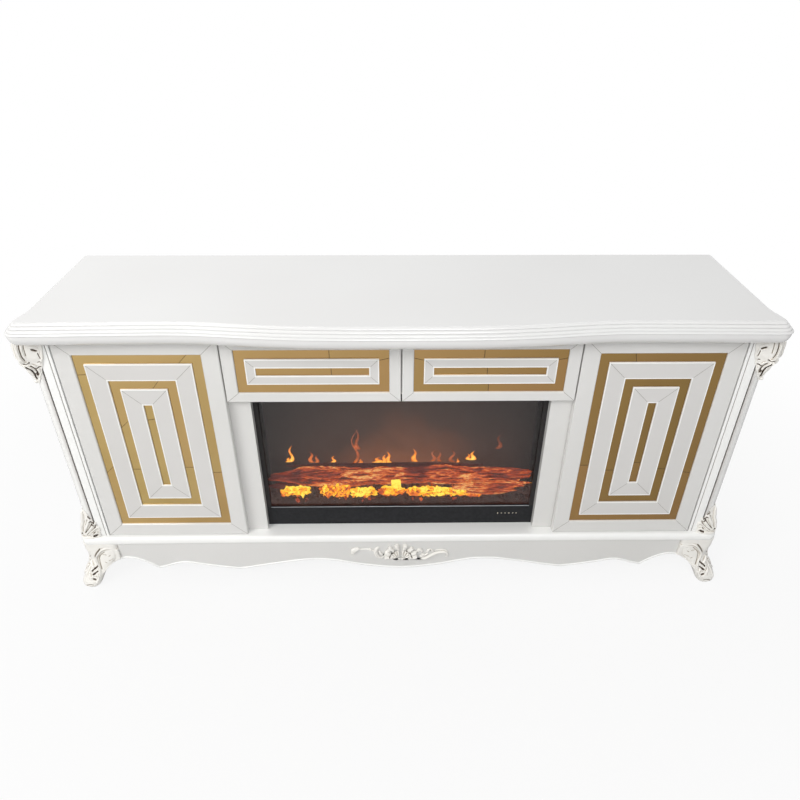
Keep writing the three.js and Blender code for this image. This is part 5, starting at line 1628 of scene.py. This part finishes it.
def frame_details(name, front, rings, width):
    """The frames' edge beads, painted lighter than the frames as a painted highlight, and lines of
    painted shade at their mitres.
    """
    beads, lines = Shell(), Shell()
    frames = [(name + front, node_rectangle(name + front), node_rectangle(name + "_mirror"))]
    for ring in rings:
        outer = node_rectangle(name + ring)
        frames.append((name + ring, outer, outer.inset(width)))
    for index, (node, outer, inner) in enumerate(frames):
        face_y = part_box(node)[0].y
        if index:
            edge_bead(beads, outer, 1, face_y)
            edge_bead(beads, inner, -1, face_y)
        reach = edge_bead_width if index else 0
        for side in sides_round:
            mitre_line(lines, outer.inset(reach).corner(side), inner.inset(-reach).corner(side), face_y)
    # Painted highlight: the beads take the brightest white against the darker frame paint
    place_mesh(name + "_frame_edge_highlights", beads, white_lacquer, body=name)
    place_mesh(name + "_frame_mitres", lines, mitre_painted_shade, body=name, angle=20)


for side in ("right", "left"):
    mirror(side + "_door", ("_outer_ring", "_inner_ring"))
    mirror(side + "_drawer", ("_ring",))
    frame_details(side + "_door", "_leaf", ("_outer_ring", "_inner_ring"), ring_width)
    frame_details(side + "_drawer", "_front", ("_ring",), drawer_ring_width)


# ---------------------------------------------------------------- fire

chance = random.Random(11)
bed_depth = bed_high.y - bed_low.y
bed_half = bed_high.x
bed_top = bed_high.z - bed_low.z
crumbs = 520
# The bed's height as shares of its box: its level, its swell across the depth and its limit
bed_level, bed_swell, bed_limit = 0.52, 0.3, 0.9

# Glowing clumps along the front of the bed, in millimetres from the bed's middle, front and foot:
# middle, half width, lowest, highest, depth, then heat
clump_rows = [
    (-328, 42, 90, 128, 14, 0.95), (-206, 48, 78, 134, 16, 0.8), (-115, 38, 88, 122, 12, 1.0),
    (-28, 34, 92, 126, 12, 0.74), (60, 36, 90, 120, 13, 0.74),
    (104, 34, 88, 123, 11, 1.0), (162, 34, 88, 118, 14, 0.82), (218, 38, 86, 114, 14, 0.66)]


def bed_height(x, y):
    """The cast bed rises towards the logs in low waves."""
    across = (x + bed_half) / (2 * bed_half)
    back = (y - bed_low.y) / bed_depth
    waves = 0.05 * math.sin(31 * across + 5 * back) + 0.04 * math.sin(67 * across + 11 * back)
    swell = bed_swell * math.sin(math.pi * min(back * 1.15, 1))
    return bed_low.z + bed_top * min(bed_limit, bed_level + waves + swell)


def ball(shell, rows, sides, point_and_heat):
    """A closed body round a middle: point_and_heat gives the place and heat in each direction."""
    rings, heats = [], []
    for row in range(rows):
        tilt = math.pi * (row + 0.5) / rows
        spots = [point_and_heat(Vector((math.sin(tilt) * c, math.sin(tilt) * s, math.cos(tilt))))
                 for c, s in circle(sides)]
        rings.append([point for point, _ in spots])
        heats += [heat for _, heat in spots]
    shell.loft(rings, heats)


def lump(shell, middle, size, seed, hot, square=1.0, stretch=(1.35, 0.95, 0.7)):
    """An ember: a flattened ball drawn in and out by noise and turned any way, or an upright block."""
    turn = Matrix.Identity(3)
    if square == 1:
        turn = Matrix.Rotation(seed, 3, "Y") @ Matrix.Rotation(seed * 1.7, 3, "Z")

    def point_and_heat(way):
        swell = 1 + square * (0.5 * noise.noise(way * 1.6 + Vector((seed, 0, 0)))
                              - 0.55 * abs(noise.noise(way * 3.1 + Vector((0, 0, seed)))))
        form = Vector([math.copysign(abs(w) ** square * reach, w) for w, reach in zip(way, stretch)])
        heat = clamped(hot * (1 + 0.45 * noise.noise(way * 2.3 + Vector((0, seed, 0)))))
        return middle + turn @ form * (size * swell), heat

    ball(shell, 9, 12, point_and_heat)


def crumpled(shell, middle, size, seed, hot):
    """A glowing body with folds: billows of noise that meet in thin dark creases."""
    def point_and_heat(way):
        broad = abs(noise.noise(way * 1.6 + Vector((seed, 0, 0))))
        fine = abs(noise.noise(way * 3.8 + Vector((0, seed, 0))))
        swell = 0.78 + 0.95 * broad + 0.16 * fine
        crease = 0.1 + 0.9 * min(1, broad / 0.085)
        fleck = 0.5 + 0.5 * min(1, fine / 0.055)
        patch = clamped(0.5 + 1.4 * noise.noise(way * 1.1 + Vector((0, 0, seed * 2))))
        shade = 0.78 + 0.26 * patch + 0.16 * way.z - 0.14 * abs(way.x)
        point = middle + Vector([w * reach * swell for w, reach in zip(way, size)])
        return point, min(hot * crease * fleck * shade, 1)

    ball(shell, 36, 52, point_and_heat)


def bed_shell():
    """The bed itself, with rings across its depth."""
    shell = Shell()
    columns, rows = 120, 12
    rings = []
    for i in range(columns + 1):
        x = mix(-bed_half, bed_half, i / columns)
        depths = [mix(bed_low.y, bed_high.y, j / rows) for j in range(rows, -1, -1)]
        rings.append([(x, bed_low.y, bed_low.z), (x, bed_high.y, bed_low.z)]
                     + [(x, y, bed_height(x, y) - 2 * mm) for y in depths])
    shell.loft(rings, 0.08)
    return shell


def ember_bed():
    shell = bed_shell()
    # Charred crumbs over the whole bed, a little warmer where the clumps lie
    for _ in range(crumbs):
        x = chance.uniform(-bed_half + 10 * mm, bed_half - 10 * mm)
        y = mix(bed_low.y + 7 * mm, bed_high.y - 12 * mm, chance.random() ** 1.3)
        size = chance.uniform(3.5, 8) * mm
        near = max(0, 1 - min(abs(x / mm - row[0]) / (1.6 * row[1]) for row in clump_rows))
        z = min(bed_height(x, y) + size * chance.uniform(-0.2, 0.3), bed_high.z - size)
        lump(shell, Vector((x, y, z)), size, chance.random() * 50,
             chance.uniform(0.02, 0.1) + 0.3 * near * chance.random() ** 2)
    for middle, half, low, high, depth, hot in clump_rows:
        bodies = max(2, round(half / 17))
        for k in range(bodies):
            across = (k + 0.5) / bodies * 2 - 1
            size = Vector((chance.uniform(0.9, 1.2) * half / bodies * 1.25, chance.uniform(9, 12),
                           (high - low) * chance.uniform(0.42, 0.52) * (1 - 0.3 * across * across)))
            place = Vector(((middle + half * across * 0.84) * mm, bed_low.y + (depth + 3) * mm,
                            bed_low.z + mix(low, high, 0.46) * mm))
            crumpled(shell, place, size * mm, chance.random() * 50, hot * chance.uniform(0.86, 1.1))
        for _ in range(int(half * 0.3)):
            across = chance.uniform(-1.05, 1.05)
            place = Vector(((middle + half * across) * mm,
                            bed_low.y + (depth + chance.uniform(-4, 2)) * mm,
                            bed_low.z + mix(low, high, chance.random() ** 2 * 0.8) * mm))
            lump(shell, place, chance.uniform(3, 6) * mm, chance.random() * 50,
                 hot * chance.uniform(0.2, 0.8))
    lump(shell, Vector((-14 * mm, bed_low.y + 11 * mm, bed_low.z + 138 * mm)), 1, 3.0, 0.9, 0.35,
         (16 * mm, 9 * mm, 12 * mm))
    return shell


place_mesh("glowing_embers", ember_bed(), ember_material, ("ember_bed",), angle=24,
           layer="glow")

# Logs: from x, to x (shares of the bed's half), from depth, to depth (shares of the bed's depth), then
# radius, rise of the middle line and sag (shares of the log radius), brightness, and the thickness left
# at the two ends
log_radius = 34 * mm
log_rest = bed_low.z - seat_gap + 103.7 * mm
log_rows = [
    (-0.97, 0.12, 0.52, 0.6, 0.86, 1.12, 0.1, 1.0, 0.4, 0.8),
    (-0.05, 0.9, 0.62, 0.54, 0.84, 1.1, 0.0, 1.0, 0.8, 0.55),
    (0.56, 0.96, 0.5, 0.44, 0.6, 1.5, 0.1, 0.8, 0.75, 0.7),
    (-0.86, 0.62, 0.92, 0.9, 0.34, 1.66, 0.1, 0.1, 0.4, 0.4),
    (-0.74, -0.26, 0.4, 0.62, 0.44, 1.56, 0.16, 1.0, 0.5, 0.4),
    (0.4, 0.92, 0.16, 0.26, 0.34, 0.5, 0.1, 1.15, 0.6, 0.35),
    (0.5, 0.96, 0.3, 0.2, 0.27, 0.95, 0.14, 1.2, 0.5, 0.35),
    (0.5, 0.86, 0.08, 0.18, 0.24, 0.1, 0.1, 1.1, 0.6, 0.4),
    (-0.99, -0.72, 0.3, 0.36, 0.28, 0.5, 0.1, 0.4, 0.4, 0.4)]
end_run = 0.3
jag_run = 0.07
jag_reach = 0.05
cap_run = 0.015
# How bright the bark is along x: share of the bed's half, brightness
glow_shares = [(-1.0, 0.3), (-0.88, 0.5), (-0.68, 0.78), (-0.45, 0.84), (-0.28, 1.0), (0.0, 0.95),
               (0.06, 0.5), (0.16, 0.5), (0.22, 1.0), (0.5, 1.1), (0.6, 0.8), (0.93, 0.9)]


def logs():
    """Split logs: furrowed along their length, thinner and jagged towards their broken ends."""
    shell = Shell()
    for index, (from_x, to_x, from_y, to_y, size, rise, sag, hot, start, stop) in enumerate(log_rows):
        steps = int(70 + 90 * (to_x - from_x))
        sides = 64 if size > 0.5 else 28
        seed = Vector((index * 9, 0, index * 5))
        rings, heats = [], []
        for t in (i / steps for i in range(steps + 1)):
            end = min(t, 1 - t)
            body = mix(start, 1, smooth_step(t / end_run)) * mix(stop, 1, smooth_step((1 - t) / end_run))
            cap = 0.7 + 0.3 * min(1.0, end / cap_run) ** 0.5
            jag = jag_reach * max(0.0, 1 - end / jag_run)
            x = mix(from_x, to_x, t)
            y = bed_low.y + bed_depth * mix(from_y, to_y, t)
            z = log_rest + log_radius * (rise - sag * math.sin(math.pi * t))
            glow = table_at(glow_shares, x)[0] * hot
            ring = []
            for c, s in circle(sides):
                broad = noise.noise(Vector((x * 4, c * 0.9, s * 0.9)) + seed)
                furrow = abs(noise.noise(Vector((x * 6, c * 3.4, s * 3.4)) + seed))
                split = abs(noise.noise(Vector((x * 11, c * 6, s * 6)) - seed))
                relief = 1.06 + 0.34 * broad - 0.42 * furrow - 0.22 * split
                radius = log_radius * size * body * cap * relief
                shift = jag * noise.noise(Vector((c * 2.4, s * 2.4, 0)) + seed)
                ring.append((bed_half * (x + shift), y + radius * c, z + radius * s))
                patch = clamped(0.5 + 1.5 * noise.noise(Vector((x * 3.4, c * 0.9, s * 0.9)) - seed * 2))
                crust = 1.25 - 1.5 * furrow - 0.9 * split
                heats.append(clamped(glow * (0.56 + 0.6 * patch) * crust, 0.03))
            rings.append(ring)
        shell.loft(rings, heats)
    return shell


place_mesh("charred_logs", logs(), log_material, ("log_set",), layer="glow")

# Flame tongues in front of the picture screen, in millimetres: x, foot, height, half width, lean, heat
flame_rows = [
    (-352, 352, 64, 7, 5, 0.9), (-360, 350, 18, 11, 2, 0.85), (-284, 348, 46, 9, -5, 0.45),
    (-270, 348, 30, 8, 3, 0.4), (-217, 348, 26, 8, 4, 0.75), (-150, 340, 140, 6, 12, 0.34),
    (-134, 400, 82, 8, -5, 0.3), (-128, 346, 16, 7, 2, 0.7), (-74, 346, 22, 18, 6, 0.7),
    (-36, 346, 44, 10, -4, 0.82), (-52, 346, 32, 11, 3, 0.75), (48, 350, 52, 10, -4, 0.72),
    (104, 350, 46, 8, 6, 0.34), (128, 350, 42, 7, -4, 0.32), (172, 346, 52, 9, -8, 0.3),
    (186, 346, 16, 5, 2, 0.6), (232, 354, 36, 11, 4, 0.95), (222, 356, 24, 9, -3, 0.85),
    (312, 400, 60, 9, 6, 0.2)]
flame_thickness = 1.2 * mm


def flames():
    """Thin tongues that sway and narrow upwards and are coolest at their edges."""
    shell = Shell()
    rows, sides = 24, 12
    for index, (x, foot, height, half, lean, heat) in enumerate(flame_rows):
        middle_y = screen_low.y - (2 + 0.4 * (index % 4)) * mm
        rings, heats = [], []
        for t in (row / rows for row in range(rows + 1)):
            width = half * mm * (0.3 + 0.7 * (1 - t) ** 1.6) * (1 - t ** 5) + 0.3 * mm
            width *= 1 + 0.35 * noise.noise(Vector((t * 5, index * 3, 0)))
            sway = lean * mm * (math.sin(2.2 * math.pi * t) + t)
            thick = flame_thickness * (1 - 0.7 * t)
            rings.append([(x * mm + sway + width * c, middle_y + thick * s, (foot + height * t) * mm)
                          for c, s in circle(sides)])
            heats += [heat * (1 - 0.4 * t) * (1 - 0.5 * abs(c) ** 3) for c, _ in circle(sides)]
        shell.loft(rings, heats)
    return shell


place_mesh("flame_tongues", flames(), flame_material, layer="glow")

lip_reach = 0.9 * mm
lip_sink = 0.2 * mm
indicator_height = 232 * mm
# Lamps on the trim, in millimetres: x, height, width; the first is a tall bar
indicators = [(310, 5.5, 2.0), (322, 2.4, 3.2), (334, 2.4, 3.2), (346, 2.8, 3.4), (358, 2.4, 3.2),
              (369, 3.0, 3.0)]
# A lamp's profile: share of its size, height over the trim in millimetres
indicator_profile = [(1.0, -0.2), (1.0, 0.35), (0.7, 0.6)]
indicator_squareness = 0.6


def trim_lip():
    """A fine half-round lip along the window's lower edge."""
    shell = Shell()
    section = [(trim_low.y + lip_sink - lip_reach * c, window_low + lip_reach * (s - 1))
               for c, s in arc(8, math.pi, -math.pi / 2)]
    shell.loft([[(window_half * (k / 12 - 1), y, z) for y, z in section] for k in range(25)])
    return shell


def indicator_row():
    """Small unlit lamps with round corners."""
    shell = Shell()
    corners = [[math.copysign(abs(value) ** indicator_squareness, value) for value in way]
               for way in circle(16)]
    for x, height, width in indicators:
        shell.loft([[((x + width / 2 * share * c) * mm, trim_low.y - out * mm,
                      indicator_height + height / 2 * mm * share * s) for c, s in corners]
                    for share, out in indicator_profile])
    return shell


place_mesh("trim_lip", trim_lip(), plain_steel)
place_mesh("indicator_row", indicator_row(), lamp_plastic)


# ---------------------------------------------------------------- finishes of the frame's own nodes

def paint(item, material):
    for slot in item.material_slots:
        slot.link = "OBJECT"
        slot.material = material


# Each finish and the nodes it covers, without their side
finishes = [
    (front_shaded_lacquer, ("drawer_front", "door_leaf", "jamb")),
    (ring_shaded_lacquer, ("door_outer_ring", "door_inner_ring", "drawer_ring")),
    (white_lacquer, ("side_panel", "side_apron", "drawer_rail", "rear_rail")),
    (white_board, ("partition", "shelf", "drawer_box", "drawer_divider")),
    (hard_board, ("cupboard_back", "drawer_space_back")),
    (lamp_plastic, ("latch_plunger", "lamp_bar")),
    (trim_paint, ("fireplace_trim",)),
    (insert_glass, ("fireplace_glass",)),
    (screen_material, ("flame_screen",)),
    (plain_steel, ("flame_spinner",)),
    (dark_steel, ("fireplace_housing", "spinner_motor", "blower_wheel")),
    (black_steel, ("blower_housing",))]
# The width of each node's softened edges, in millimetres
soft_edges = {"jamb": 0.8, "side_panel": 0.8, "side_apron": 1.2, "shelf": 0.6, "partition": 0.6,
              "drawer_rail": 0.8, "drawer_box": 0.5, "rear_rail": 1.2, "drawer_divider": 0.6}

for name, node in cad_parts.items():
    plain = name.removeprefix("right_").removeprefix("left_")
    for material, covered in finishes:
        if plain in covered:
            paint(node, material)
    if plain in soft_edges:
        rounded(node, soft_edges[plain] * mm)
